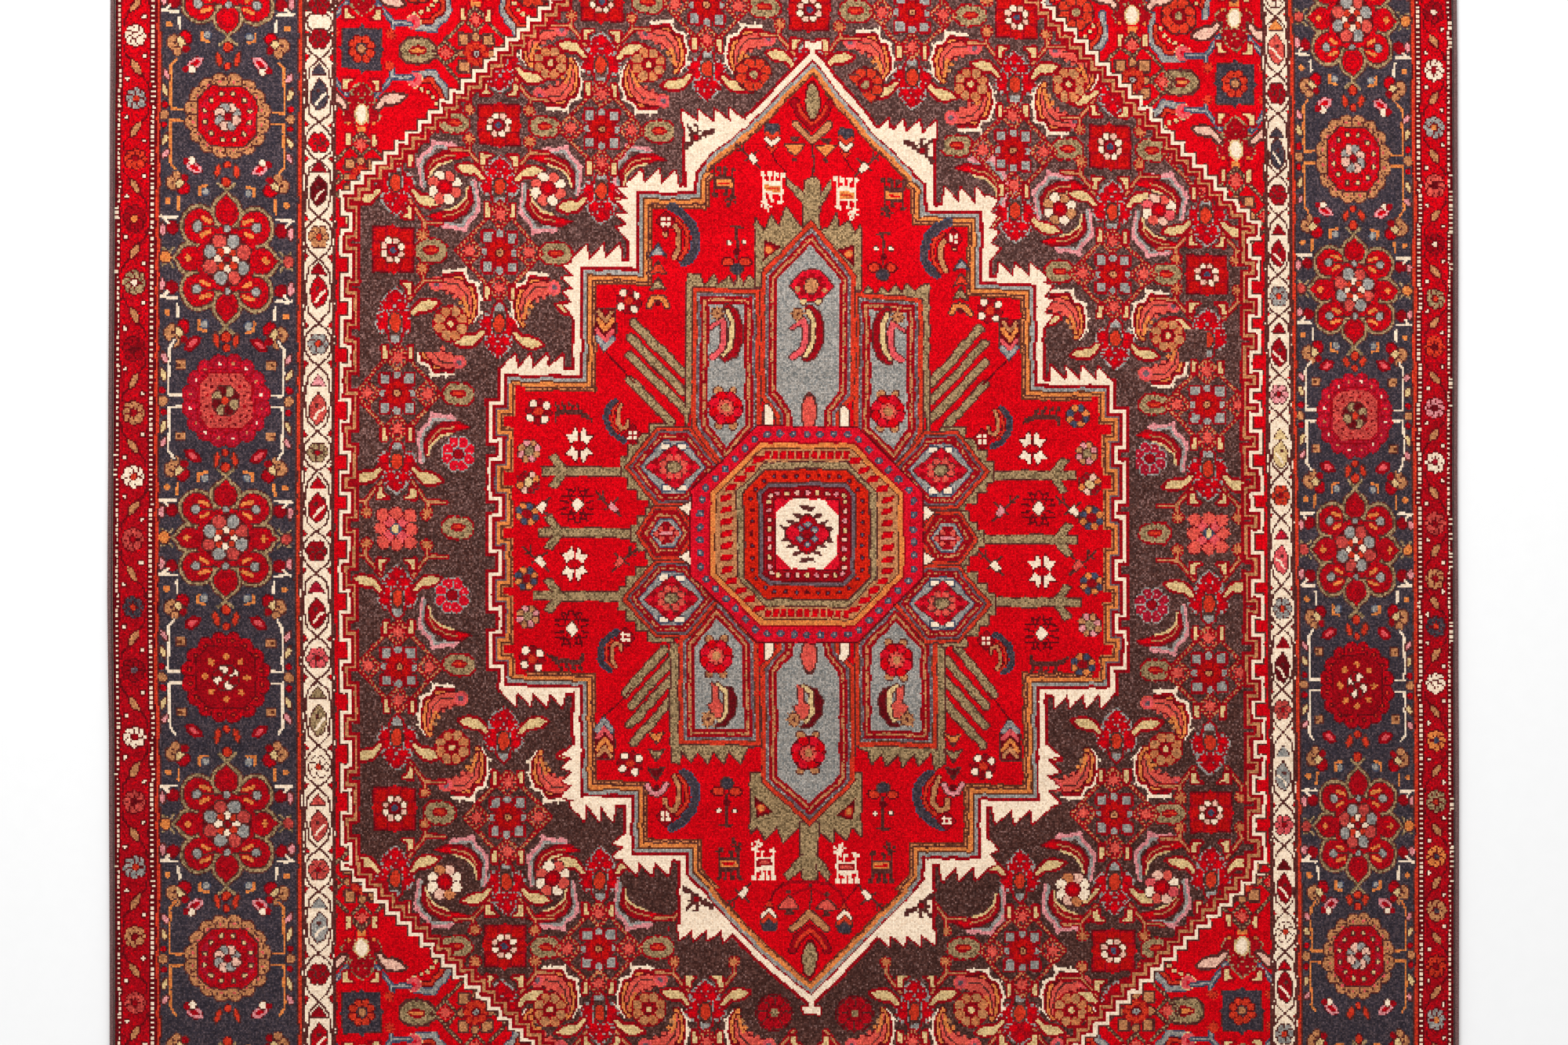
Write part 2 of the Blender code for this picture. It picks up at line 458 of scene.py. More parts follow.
# The ivory guard's motifs from the top down, as (place, wool), with the kinds by turns.
LEFT_VINE = ((300, "crimson"), (281, "navy"), (266, "navy"), (237, "red"), (222, "crimson"),
             (208, "maroon"), (180, "tan"), (160, "crimson"), (146, "red"), (115, "blue"),
             (92, "pink"), (75, "coral"), (49, "olive"), (30, "red"), (15, "red"), (-11, "crimson"),
             (-33, "rose"), (-49, "crimson"), (-76, "hot_pink"), (-97, "olive"), (-114, "olive"),
             (-142, "ivory"), (-162, "coral"), (-178, "coral"), (-204, "coral"), (-225, "blue"),
             (-240, "blue"), (-268, "crimson"), (-291, "crimson"), (-307, "red"))
RIGHT_VINE = ((325, "ivory"), (308, "orange"), (293, "coral"), (267, "crimson"), (243, "navy"),
              (230, "navy"), (205, "crimson"), (184, "crimson"), (169, "crimson"), (144, "blue"),
              (124, "crimson"), (109, "crimson"), (84, "pink"), (60, "cream"), (47, "cream"),
              (23, "flame"), (-1, "rose"), (-17, "hot_pink"), (-46, "blue"), (-67, "crimson"),
              (-82, "maroon"), (-107, "coral"), (-133, "blue"), (-148, "blue"), (-177, "hot_pink"),
              (-202, "maroon"), (-216, "crimson"), (-242, "ivory"), (-263, "red"),
              (-276, "crimson"), (-304, "blue"))
VINE_KINDS = ("rosette", "arrow", "boteh")
VINE_TURNS = (("rosette", "crimson"), ("arrow", "navy"), ("boteh", "navy"),
              ("rosette", "red"), ("arrow", "crimson"), ("boteh", "crimson"))


def boteh(pen, wool):
    """A leaf with a bent tip."""
    outline = [(0, 9.5), (4.2, 5), (5.2, -1), (3, -6), (-1, -8.5), (-4.6, -4), (-4.8, 2), (-2.6, 6)]
    pen.poly(outline, wool, "brown", 0.8)
    pen.path([(3.6, 1), (0.5, -1.5), (-2, -5)], 1.5, "ivory")
    pen.disc(-0.6, 2.6, 1.3, "brown")


def arrow(pen, wool):
    pen.poly([(-4.6, -2.6), (4.6, -2.6), (2.5, 0.6), (0, 3.6), (-2.5, 0.6)], wool, "brown", 0.6)


SIDE_LINE = 0.7  # from the ivory guard's sides to the brown lines along them


def vine_run(loom, side, places, scale):
    """Two stems that cross between motifs, on ivory."""
    low, high = SIDES[side]["ivory"]
    centre, reach = (low + high) / 2, (high - low) / 2
    rosettes = [along for along, kind, _ in places if kind == "rosette"]
    for start, end in zip(rosettes, rosettes[1:]):
        pitch = (start - end) / 2
        pen = side_pen(loom, side, centre, (start + end) / 2, scale)
        for q in pen.quarters():
            bow = [(0, pitch * 0.60), (5, pitch * 0.72), (8.2, pitch * 0.88), (8.2, pitch)]
            q.path(bow, 1.25, "brown")
            q.path([(0, pitch * 0.60), (6, pitch * 0.42)], 1.25, "brown")
            q.poly([(6.0, pitch * 0.66), (8.4, pitch * 0.56), (8.4, pitch * 0.70)], "red", "brown", 0.5)
            q.path([(6, pitch * 0.42), (8, 0)], 1.15, "brown")
    for start, end in zip(rosettes, rosettes[1:]):
        for line in (SIDE_LINE - reach, reach - SIDE_LINE):
            pen = side_pen(loom, side, centre + line, (start + end) / 2)
            pen.box(0, 0, 0.6, (start - end) / 2, "brown")
    for along, kind, wool in places:
        pen = side_pen(loom, side, centre, along, scale)
        if kind == "rosette":
            heart = "flame" if wool in ("ivory", "blue", "tan") else "crimson"
            rosette(pen, 6.2, wool, heart, "brown", 0.40, count=6, phase=0)
        elif kind == "boteh":
            boteh(pen, wool)
        else:
            arrow(pen, wool)


# ------------------------------------------------------------- the main border

# Centres of the main border's medallions along its length, and how they alternate. The ones past
# the photograph's ends are carried on to the corners.
OCTAGON_ROWS = {538: "tan", 396: "rose", 241: "tan", 75.5: "rose", -90: "red", -257.5: "tan",
                -444.5: "rose"}
LOBED_ROWS = (467, 325, 156.8, -6.6, -177, -351, -538)
END_PITCH = 85.7
END_MEDALLIONS = 7
END_OCTAGONS = ("tan", "rose", "red", "rose")


def octagon(half_u, half_v, cut):
    return [(half_u, half_v - cut), (half_u - cut, half_v), (cut - half_u, half_v),
            (-half_u, half_v - cut), (-half_u, cut - half_v), (cut - half_u, -half_v),
            (half_u - cut, -half_v), (half_u, cut - half_v)]


def tan_octagon(pen):
    pen.poly(octagon(21, 21, 8.5), "brown")
    for u, v, angle in ring(16, 21.5, 11.25):
        stretch = 1 + 0.05 * math.cos(math.radians(8 * angle))
        pen.disc(u * stretch, v * stretch, 4.7, "tan", "brown", 0.8)
    pen.beads(16, 21.5, 11.25, 0.9, "hot_pink")
    pen.beads(32, 21.7, 5.6, 0.8, "brown", wide=1.05, high=1.05)
    pen.poly(octagon(17.6, 18, 8), "red", "brown", 1.0)
    pen.poly(octagon(16, 13.6, 6), "rose")
    pen.poly(octagon(12, 14.4, 6), "red")
    pen.beads(12, 14.2, 15, 1.1, "cream", "brown", 0.8)
    rosette(pen, 8.2, ("blue", "peach"), "crimson", "brown", 0.34)


def rose_octagon(pen):
    pen.poly(octagon(22, 22, 8.5), "crimson")
    pen.beads(16, 22.2, 11.25, 4.5, "rose", "crimson", 0.8)
    pen.beads(16, 22.2, 11.25, 0.9, ("ivory", "tan"))
    pen.poly(octagon(17.2, 17.4, 7), "rose", "crimson", 0.8)
    pen.poly(octagon(15.6, 15.8, 6), "coral", "crimson", 0.8)
    pen.beads(12, 12.0, 15, 1.0, ("maroon", "crimson"))
    pen.beads(24, 15.0, 7.5, 0.7, "maroon")
    pen.disc(0, 0, 9, "maroon")
    rosette(pen, 8.4, ("maroon", "olive"), "flame", "brown", 0.34)


def red_octagon(pen):
    pen.poly(octagon(22, 22, 8.5), "maroon")
    pen.beads(16, 22.2, 11.25, 4.7, "red", "maroon", 0.5)
    pen.beads(16, 22.2, 11.25, 1.6, "maroon")
    pen.beads(16, 22.2, 11.25, 0.7, "flame")
    pen.poly(octagon(17.8, 18, 7.4), "crimson", "maroon", 0.8)
    for u, v, angle in ring(8, 12.6, 0):
        star = pen.at(u, v, angle)
        star.box(0, 0, 2.2, 0.9, "orange")
        star.box(0, 0, 0.9, 2.0, "orange")
    pen.disc(0, 0, 8, "maroon")
    rosette(pen, 7.4, ("ivory", "crimson"), "crimson", "brown", 0.33)


OCTAGONS = {"tan": tan_octagon, "rose": rose_octagon, "red": red_octagon}
BRACKETS = {"tan": "orange", "rose": "ivory", "red": "ivory"}


def flower_cluster(pen):
    """A tan and a red flower with a cream leaf, in the corners between medallions."""
    pen.disc(3.4, -2.6, 3.6, "red", "maroon", 0.8)
    pen.disc(-3.4, 0.8, 4.2, "tan", "brown", 0.9)
    pen.disc(-3.4, 0.8, 1.0, "brown")
    leaf(pen.at(1.0, 0.6, 60), 7.5, 3.8, "cream")
    pen.disc(-1.4, 5.8, 2.4, "tan", "brown", 0.7)
    pen.disc(3.8, 4.2, 2.2, "crimson", "brown", 0.6)


def octagon_setting(pen, kind):
    """The brackets, leaves and lozenges round an octagon, drawn for one quarter and mirrored."""
    rim, core = ("pink", "red") if kind == "tan" else ("crimson", "hot_pink")
    for q in pen.quarters():
        q.path([(27, 3.5), (34.6, 3.3), (34.6, 30), (31.5, 34)], 1.5, BRACKETS[kind], "navy", 0.8)
        leaf(q.at(20.0, 32.2, 148), 12.0, 6.4, rim, "maroon", 0.4)
        leaf(q.at(20.0, 32.2, 148), 7.2, 3.2, core, None)
        if kind == "tan":
            q.disc(21.6, 28.0, 2.2, "ivory", "brown", 0.6)
            q.disc(25.2, 28.4, 2.1, "crimson")
        else:
            q.box(27.4, 20.8, 2.6, 2.3, "tan", "brown", 0.6)
            q.box(28.2, 20.8, 1.1, 0.9, "bark")
        leaf(q.at(38.0, 15.0, 70), 7.5, 2.8, "cream")
        leaf(q.at(37.6, 24.5, 60), 6.5, 2.8, "pink")
        q.disc(38.2, 6.2, 1.7, "red", "maroon", 0.5)
        leaf(q.at(5.8, 34.6, 78), 8.6, 3.2, "flame")
    for end in (1, -1):
        pen.disc(end * 38.4, 0, 2.6, "tan", "brown", 0.7)
        pen.disc(0, end * 30.3, 2.0, "flame", "maroon", 0.6)
    OCTAGONS[kind](pen)


LOBES = ((0, 25.5, 6.6), (17.0, 17.6, 8.6), (-17.0, 17.6, 8.6), (17.0, -17.6, 8.6),
         (-17.0, -17.6, 8.6), (0, -25.5, 6.6), (21.6, 0, 6.4), (-21.6, 0, 6.4), (0, 0, 17.5))


def lobed_outline(pen, grow, wool):
    """Round lobes and four pointed tips, all grown by the same amount."""
    for u, v, r in LOBES:
        pen.disc(u, v, r + grow, wool)
    for end in (1, -1):
        tip = 34.5 + grow * 1.3
        pen.poly([(-5.5 - grow, end * 29), (0, end * tip), (5.5 + grow, end * 29)], wool)
        side = 30.5 + grow * 1.2
        pen.poly([(end * 24, -5.5 - grow), (end * side, 0), (end * 24, 5.5 + grow)], wool)


def lobe_flower(pen):
    """A blue flower between two orange leaves, in a corner lobe."""
    pen.path([(-3, 6.4), (-8.6, 1.2), (-5.6, -6.0)], 1.0, "crimson")
    pen.path([(-1.4, 4.6), (-6.6, 2.8)], 2.2, "orange")
    pen.path([(-2.0, -4.6), (-6.2, -2.6)], 2.2, "orange")
    pen.disc(1.0, 0, 2.6, "blue", "brown", 0.8)
    pen.path([(-2.6, 0), (-10.5, 0.4)], 0.9, "brown")


def lobed_medallion(pen):
    for grow, wool in ((3.5, "brown"), (2.8, "olive"), (1.1, "brown"), (0.3, "red")):
        lobed_outline(pen, grow, wool)
    for end in (1, -1):
        pen.disc(0, end * 26, 5.6, "crimson")
        pen.disc(0, end * 26, 4.6, "red")
        pen.disc(0, end * 17.2, 1.9, "blue", "brown", 0.7)
        pen.box(end * 23.6, 0, 2.2, 0.8, "orange")
        pen.box(end * 23.6, 0, 0.8, 2.2, "orange")
    for q in pen.quarters():
        lobe_flower(q.at(17, 17.2))
    pen.disc(0, 0, 14.6, "maroon")
    pen.beads(8, 10.8, 22.5, 3.7, ("coral", "blue"), "brown", 0.8)
    pen.beads(8, 5.2, 0, 2.1, ("ivory", "flame"), "brown", 0.6)
    pen.disc(0, 0, 1.7, "crimson", "brown", 0.6)
    lobed_setting(pen)


def lobed_setting(pen):
    """Sprigs round a lobed medallion."""
    for end in (1, -1):
        pen.path([(end * 32.2, 5.2), (end * 34.6, 2.4), (end * 39, 4.6)], 1.5, "olive")
        pen.path([(end * 32.2, -5.2), (end * 34.6, -2.4), (end * 39, -4.6)], 1.5, "olive")
        pen.disc(end * 37.2, 0, 3.1, "coral" if end > 0 else "orange", "brown", 0.8)
        for side in (1, -1):
            q = pen.at(0, 0, 0, end, side)
            q.disc(33, 16.4, 3.3, "crimson", "maroon", 0.7)
            leaf(q.at(39, 15.4, 90), 7.2, 3.2, "pink")
            q.path([(30.4, 22.4), (40, 22)], 1.7, "ivory")
            q.path([(38.4, 22), (35.4, 18.8)], 1.6, "ivory")
            q.path([(29.8, 26), (29.2, 32.6)], 1.8, "ivory" if side < 0 else "orange", "navy", 0.5)
            q.disc(36, 30.6, 1.9, "orange")
            flower_cluster(q.at(29.5, 40.6, 0, -1, 1))
            q.path([(16.4, 34.6), (16.6, 39), (12, 40.2)], 1.8, "orange")
            q.disc(13, 36.4, 2.1, "blue", "slate", 0.6)
        pen.path([(-4.8, end * 41.6), (0, end * 37.6), (4.8, end * 41.6)], 1.9, "olive")
        pen.disc(0, end * 43.0, 2.6, "flame", "maroon", 0.7)


# How far each side border's medallions sit below the drawn rows: (row, drop).
LEFT_DROP = ((60, 0), (156, 2.4), (241, 2.4), (400, 0))
NO_DROP = ((0, 0),)
# The side borders' medallions: (side, how wide for their length, how far outwards, drop).
SIDE_MEDALLIONS = (("left", 1.0, 1.0, LEFT_DROP), ("right", 0.85, 0.0, NO_DROP))


def main_border(loom):
    for side, scale, outwards, drop in SIDE_MEDALLIONS:
        centre = middle(SIDES[side]["navy"]) - outwards
        for row in LOBED_ROWS:
            lobed_medallion(side_pen(loom, side, centre, row - eased(drop, row), scale))
        for row, kind in OCTAGON_ROWS.items():
            octagon_setting(side_pen(loom, side, centre, row - eased(drop, row), scale), kind)
    left_centre = LEFT_EDGE + middle(WIDE["navy"])
    for side, phase in (("top", 0), ("bottom", 1)):
        for k in range(1, END_MEDALLIONS + 1):
            pen = side_pen(loom, side, middle(WIDE["navy"]), left_centre + END_PITCH * k)
            if k % 2 == phase:
                octagon_setting(pen, END_OCTAGONS[k // 2 % 4])
            else:
                lobed_medallion(pen)


# The borders' wools grow duller towards the foot: (bright, dull), and (row, share of the knots).
DULLED = (("red", "madder"), ("rose", "old_rose"), ("coral", "brick"))
DULLING = ((-300, 0.90), (60, 0.90), (150, 0.60), (240, 0.30))


GUARD_PITCH = 37
VINE_PITCH = 21
VINE_X = 0.74  # the ivory guard's distance from the middle, to the outer guard's
NARROWED = 0.88  # how much narrower the right-hand guards' motifs are


def dye_borders(loom):
    dye_stripes(loom)
    main_border(loom)
    reach = END_EDGE - middle(WIDE["guard"])
    inner_reach = END_EDGE - middle(WIDE["ivory"])
    for side, guard, vine, scale, x in (("left", LEFT_GUARD, LEFT_VINE, 1.0, -410),
                                        ("right", RIGHT_GUARD, RIGHT_VINE, NARROWED, 381)):
        guard = [(lean_at(x, along), *rest) for along, *rest in guard]
        guard_run(loom, side, carried_on(guard, reach + 1, GUARD_PITCH, GUARD_TURNS), scale)
        vine = [(lean_at(x * VINE_X, along), VINE_KINDS[k % 3], wool)
                for k, (along, wool) in enumerate(vine)]
        vine_run(loom, side, carried_on(vine, inner_reach - 9, VINE_PITCH, VINE_TURNS), scale)
    for side in ("top", "bottom"):
        guard = carried_on([(0, "tan", "maroon")], 372, GUARD_PITCH, GUARD_TURNS)
        guard_run(loom, side, guard, 1.0)
        vine = carried_on([(0, "rosette", "crimson")], 268, VINE_PITCH, VINE_TURNS)
        vine_run(loom, side, vine, 1.0)
    for bright, dull in DULLED:
        loom.redye(bright, dull, eased(DULLING, loom.y))


# ------------------------------------------------------------------- the field

# The line round the field steps in and out along both sides: (top, bottom) of each tab of the
# red spandrel that juts into it, as seen in the photograph.
LEFT_TABS = ((193, 185), (168, 158), (141, 132), (112, 103), (80, 69), (48, 38), (23, 14),
             (-4, -16), (-36, -47), (-66, -77), (-97, -108), (-128, -140), (-157, -169),
             (-190, -199))
RIGHT_TABS = ((178, 168), (153, 145), (131, 124), (109, 99), (86, 80), (71, 63), (48, 40),
              (23, 15), (0, -11), (-30, -37), (-52, -61), (-79, -87), (-103, -112),
              (-128, -135), (-149, -157), (-173, -182), (-200, -208))
FIELD_OUT = {"left": -285.2, "right": 275.0}
FIELD_IN = {"left": -280.0, "right": 269.2}
FIELD_SHOULDER = {"left": 195, "right": 201}
FIELD_FOOT = {"left": -205, "right": -207}
STEP = 6.5  # of the field's stepped ends
STEPS_END = 444.0
APEX = 32.0


def stairs(x, y, end_x, end_y):
    """Square steps from one point to another, moving across before up or down."""
    count = max(1, round(abs(end_y - y) / STEP))
    run, rise = (end_x - x) / count, (end_y - y) / count
    points = []
    for k in range(count):
        points += [(x + run * k, y + rise * k), (x + run * (k + 1), y + rise * k)]
    return points + [(end_x, end_y)]


def field_half(side, tabs, sign):
    """That side's line, from the top apex down to the bottom one."""
    out, into = FIELD_OUT[side], FIELD_IN[side]
    points = list(reversed(stairs(out, FIELD_SHOULDER[side], sign * APEX, STEPS_END)))
    for high, low in tabs:
        high, low = lean_at(out, high), lean_at(out, low)
        points += [(out, high), (into, high), (into, low), (out, low)]
    return points + stairs(out, FIELD_FOOT[side], sign * APEX, -STEPS_END)


def field_outline():
    left = field_half("left", LEFT_TABS, -1)
    right = field_half("right", RIGHT_TABS, 1)
    return left + list(reversed(right))


def dye_bands(loom, depth, bands):
    for low, high, wool in bands:
        loom.dye((depth > low) & (depth <= high), wool)


FIELD_BANDS = ((-0.8, 0, "brown"), (0, 1.9, "ivory"), (1.9, 3.8, "crimson"), (3.8, 5.3, "tan"),
               (5.3, 7.2, "crimson"))
FRAME_DEPTH = 7.2

# ----------------------------------------------------------- the field's lattice

FIELD_COLUMNS = (-250, -188.5, -126.5, -62.5, 0, 62.5, 126, 187.5, 242)
FIELD_ROWS = (398, 318, 240, 164, 81, 2, -80, -169, -251, -330, -410)
# Whether the curled leaves between one row and the next have white edges.
WHITE_LEAVES = (False, True, False, True, False, False, True, False, True, False)

FIELD_STYLE = {
    "line": "crimson", "dots": "tan", "squares": "blue", "square_rim": "crimson",
    "flower": "scarlet", "heart": "tan", "bars": "cream", "oval": "umber", "core": "flame",
    "tip": "blue", "edge": "blue", "petal": "madder", "petal_heart": "red", "leaf": "cream",
    "leaf_rim": "crimson", "twig": "tan", "twig_rim": "crimson", "oval_rim": "crimson",
    "slit": "flame", "stretch": 1.0,
}
SPANDREL_STYLE = {
    "line": "brown", "dots": "olive", "squares": "tan", "square_rim": "brown",
    "flower": "flame", "heart": "blue", "bars": "cream", "oval": "cream", "core": "ivory",
    "tip": "orange", "edge": "olive", "petal": "crimson", "petal_heart": "madder", "leaf": "peach",
    "leaf_rim": "brown", "twig": "blue", "twig_rim": "slate", "oval_rim": "brown",
    "slit": "orange", "stretch": 1.15,
}


DOTTED_PITCH = 2.6


def dotted(pen, start, end, style):
    """A thin line of knots in two wools by turns."""
    pen.path([start, end], 2.5, style["line"])
    length = math.hypot(end[0] - start[0], end[1] - start[1])
    count = max(2, round(length / DOTTED_PITCH))
    for k in range(count):
        share = (k + 0.5) / count
        u = start[0] + (end[0] - start[0]) * share
        v = start[1] + (end[1] - start[1]) * share
        pen.disc(u, v, 0.8, style["dots"])


def dotted_diamond(pen, half_u, half_v, style):
    for q in pen.quarters():
        dotted(q, (0, half_v), (half_u, 0), style)


def little_rosette(pen, u, v, wool, r, rim="crimson"):
    """A blunt star of eight rays."""
    pen.disc(u, v, r * 0.66, wool, rim, 0.8)
    for du, dv, _ in ring(8, r, 0):
        pen.path([(u, v), (u + du, v + dv)], 0.9, wool)


def diamond_node(pen, style):
    """Dotted lines round a flower with eight squares."""
    dotted_diamond(pen, 26, 27.5, style)
    for u, v in ((0, 21), (0, -20.5), (18.6, 0), (-18.6, 0)):
        dotted_diamond(pen.at(u, v), 7.4, 7.4, style)
        little_rosette(pen, u, v, "coral", 3.9)
    for q in pen.quarters():
        q.box(7.8, 23.8, 1.2, 3.6, style["bars"], "crimson", 1.4)
    pen.disc(0, 0, 9.4, "crimson")
    for q in pen.quarters():
        q.box(7.4, 8.4, 2.6, 2.8, style["squares"], style["square_rim"], 1.4)
    for way in (1, -1):
        pen.disc(0, way * 10.4, 2.2, style["squares"], style["square_rim"], 1.0)
        pen.disc(way * 8.8, 0, 2.0, style["squares"], style["square_rim"], 1.0)
    pen.disc(0, 0, 7.0, "maroon")
    pen.beads(8, 5.4 * 0.96, 0, 2.2, style["flower"], "crimson", 0.5)
    pen.disc(0, 0, 2.8, "maroon")
    pen.disc(0, 0, 1.9, style["heart"])
    pen.disc(0, 0, 0.6, "brown")


def red_square(pen):
    """Bright squares on red, round a ring of pale petals."""
    pen.box(0, 0, 12.2, 12.2, "crimson", "maroon", 0.8)
    for su in (1, -1):
        pen.poly([(-2.4, su * 12), (0, su * 14.5), (2.4, su * 12)], "red")
        pen.poly([(su * 12, -2.4), (su * 14, 0), (su * 12, 2.4)], "red")
        for u, v in ((su * 8, 8), (su * 8, -8), (0, su * 9), (su * 9, 0)):
            pen.box(u, v, 3.2, 3.2, "scarlet", "madder", 0.7)
    for at in (-4.2, 4.2):
        pen.path([(at, -11.8), (at, 11.8)], 0.9, "crimson")
        pen.path([(-11.8, at), (11.8, at)], 0.9, "crimson")
    pen.disc(0, 0, 8.0, "crimson")
    pen.beads(8, 5.9, 22.5, 1.8, ("ivory", "peach"), "bark", 0.6)
    pen.disc(0, 0, 3.2, "crimson", "maroon", 1.0)
    pen.disc(0, 0, 1.9, "slate")


def coral_square(pen, inner="hot_pink", outer="coral"):
    """Eight flowers round a pale heart."""
    for q in pen.quarters():
        q.disc(4.3, 4.6, 3.4, inner, "crimson", 0.6)
    for u in (-8.3, 0, 8.3):
        for v in (-8.4, 0, 8.4):
            if u or v:
                far = 1.12 if u * v == 0 else 1.0
                pen.disc(u * far, v * far, 3.5, outer, "maroon", 0.6)
                little_rosette(pen, u * far, v * far, outer, 3.9, None)
    pen.disc(0, 0, 3.4, "slate")
    pen.disc(0, 0, 1.9, "cream", r2=2.8)


def navy_square(pen):
    pen.box(0, 0, 11.6, 12.0, "navy", "brown", 0.6)
    for su in (1, -1):
        pen.poly([(-3, su * 11), (0, su * 15), (3, su * 11)], "navy")
        pen.poly([(su * 11, -3), (su * 14, 0), (su * 11, 3)], "navy")
    pen.beads(8, 6.0, 22.5, 2.3, "flame", "maroon", 0.5)
    pen.disc(0, 0, 3.4, "navy")
    pen.disc(0, 0, 2.3, "tan", "brown", 0.5)


def tan_square(pen):
    coral_square(pen, "crimson", "tan")


SQUARES = {"red": red_square, "coral": coral_square, "tan": tan_square, "navy": navy_square}


def square_node(pen, kind, style, sides=(1, -1)):
    """A square with a flower, and twigs from its corners."""
    for q in pen.quarters(sides):
        for width, wool in ((3.6, style["twig_rim"]), (1.3, style["twig"])):
            q.path([(18.6, 11), (18.6, 16.6), (9.5, 28)], width, wool)
            q.path([(18.6, 16.6), (30, 16.2)], width, wool)
        if kind != "navy":
            q.disc(18.2, 9.6, 3.9, "crimson")
            little_rosette(q, 18.2, 9.6, "amber", 3.2)
        else:
            little_rosette(q, 17.2, 9.6, "flame", 3.2)
        bar = [(5.0, 18.6), (11, 18.2), (11.2, 24.6), (8.6, 24.8), (8.4, 21)]
        q.poly(bar, style["bars"], "crimson", 1.5)
    SQUARES[kind](pen)


CROWN = [(-8, 6), (-7.8, 11), (-4.4, 15.4), (0, 18.8), (4.4, 15.4), (7.8, 11), (8, 6), (5, 3),
         (-5, 3)]
SIDE_PETAL = [(4.4, -4.4), (8.4, -5.2), (11.2, -1), (9.4, 6.6), (5.2, 6)]
EDGE_DOTS = ((8.4, 2.6), (8.4, 6.0), (2.0, 6.6), (7.4, 8.8), (2.2, 12.6), (5.8, 12.2), (0.4, 9.4))
LONG_LEAF = [(8.8, 4.2), (12, 8.8), (15.6, 12.2), (20.8, 13.2), (26.6, 11.6), (23.2, 8.4),
             (18.4, 7.0), (14.4, 7.0), (11, 3.6)]
CRIMSON_EDGING = 0.35  # the share of a palmette's edging knots in crimson


def palmette(pen, way, style, leaves=(1, -1)):
    """A fan between two nodes of the lattice, with a leaf on each of the sides named.

    Its crown is towards the square node.
    """
    q = pen.at(0, 0, 0, 1, way)
    before = pen.loom.knots.copy()
    q.poly(CROWN, style["petal"], style["edge"], 1.3)
    for su in (1, -1):
        s = q.at(0, 0, 0, su, 1)
        s.poly(SIDE_PETAL, style["petal"], style["edge"], 1.2)
        s.disc(7.8, -1.8, 2.1, style["petal_heart"])
        s.disc(6.2, 3.6, 1.7, style["petal_heart"], r2=2.8)
        s.disc(4.2, 9.0, 2.2, style["petal_heart"])
        for u, v in EDGE_DOTS:
            s.disc(u, v, 0.8, style["edge"])
        if su in leaves:
            s.poly(LONG_LEAF, style["leaf"], style["leaf_rim"], 1.7)
    q.disc(0, 14.4, 2.0, style["petal_heart"], r2=2.6)
    where, _, _ = q.window((-16, -8), (16, 20), 0)
    knots = pen.loom.knots[where]
    edging = (knots != before[where]) & (knots == CODE[style["edge"]])
    pen.loom.dye(edging & (pen.loom.luck[where] < CRIMSON_EDGING), "crimson", where)
    q.path([(-5.0, -4.4), (-3.8, -10.2), (0, -13.6), (3.8, -10.2), (5.0, -4.4)], 1.4, "crimson")
    q.poly([(-2.9, -7.4), (-2.7, -10.2), (0, -12.8), (2.7, -10.2), (2.9, -7.4)], style["tip"])
    for su in (1, -1):
        q.disc(su * 7.6, -5.4, 1.1, style["tip"], "crimson", 0.6)
    q.disc(0, -0.4, 4.4, style["oval"], r2=6.2)
    q.disc(0, -0.2, 3.2, style["core"], r2=5.0)


def olive_oval(pen, style):
    q = pen.at(0, 0, 0, style["stretch"], style["stretch"] * 0.96)
    q.beads(10, 1, 18, 1.9, style["oval_rim"], wide=8.6, high=6.2)
    q.poly(octagon(8.8, 5.9, 3.4), "olive", style["oval_rim"], 1.4)
    q.beads(14, 1, 0, 1.2, "olive", wide=8.4, high=5.6)
    q.disc(0, 0.2, 4.9, "crimson", r2=2.6)
    q.disc(0, 0.2, 3.9, style["slit"], r2=1.1)


def scaled(points, by):
    return [(u * by, v * by) for u, v in points]


CURL = ((-3, 25.5), (10, 27), (12, 22.5), (16, 19.5), (18.5, 14), (17.5, 8), (16.5, 0))


def white_curl(pen):
    """A serrated leaf round its rosette, drawn for the upper right-hand quarter."""
    edge = [(-2, 28.2), (9.5, 29), (12.4, 23.2), (17.2, 22), (19.4, 14), (18.6, 4), (15.4, -1)]
    pen.path(edge, 1.8, "ivory")
    for u, v, du, dv in ((1, 28.6, 1.4, 2.6), (10.6, 29.4, 1.4, 2.4), (17.6, 21.8, 2.6, 0.6),
                         (20.0, 13, 2.4, 0.6), (19.6, 6, 2.2, 0.4)):
        pen.poly([(u - 1.6, v - 1.4), (u + du, v + dv), (u + 1.4, v - 1.8)], "ivory")
    pen.path(scaled(edge, 0.915), 2.6, "crimson")
    pen.path(scaled(edge, 0.83), 2.4, "orange", "maroon", 0.6)
    mass = [(-6, 23.6), (2, 24.4), (9, 22.4), (13.6, 16.6), (15, 9), (13.6, 1.6), (11.8, 2.4),
            (10.8, 9), (6, 15), (-3, 17.6)]
    pen.poly(mass, "coral", "maroon", 0.9)
    pen.path([(-2, 21.4), (6, 20.6), (11.4, 15), (13.6, 6)], 1.0, "brown")
    pen.path([(9.6, 12.6), (11.6, 8), (12.4, 3)], 2.0, "orange")
    dots = ((0.4, 15.8, "coral"), (4.6, 13.4, "coral"), (7.8, 9.8, "orange"), (9.8, 6, "tan"))
    for u, v, wool in dots:
        pen.disc(u, v, 1.3, wool)
    pen.disc(-6, 21, 3.6, "hot_pink", "coral", 0.8)
    pen.disc(-6, 21, 1.6, "mauve")


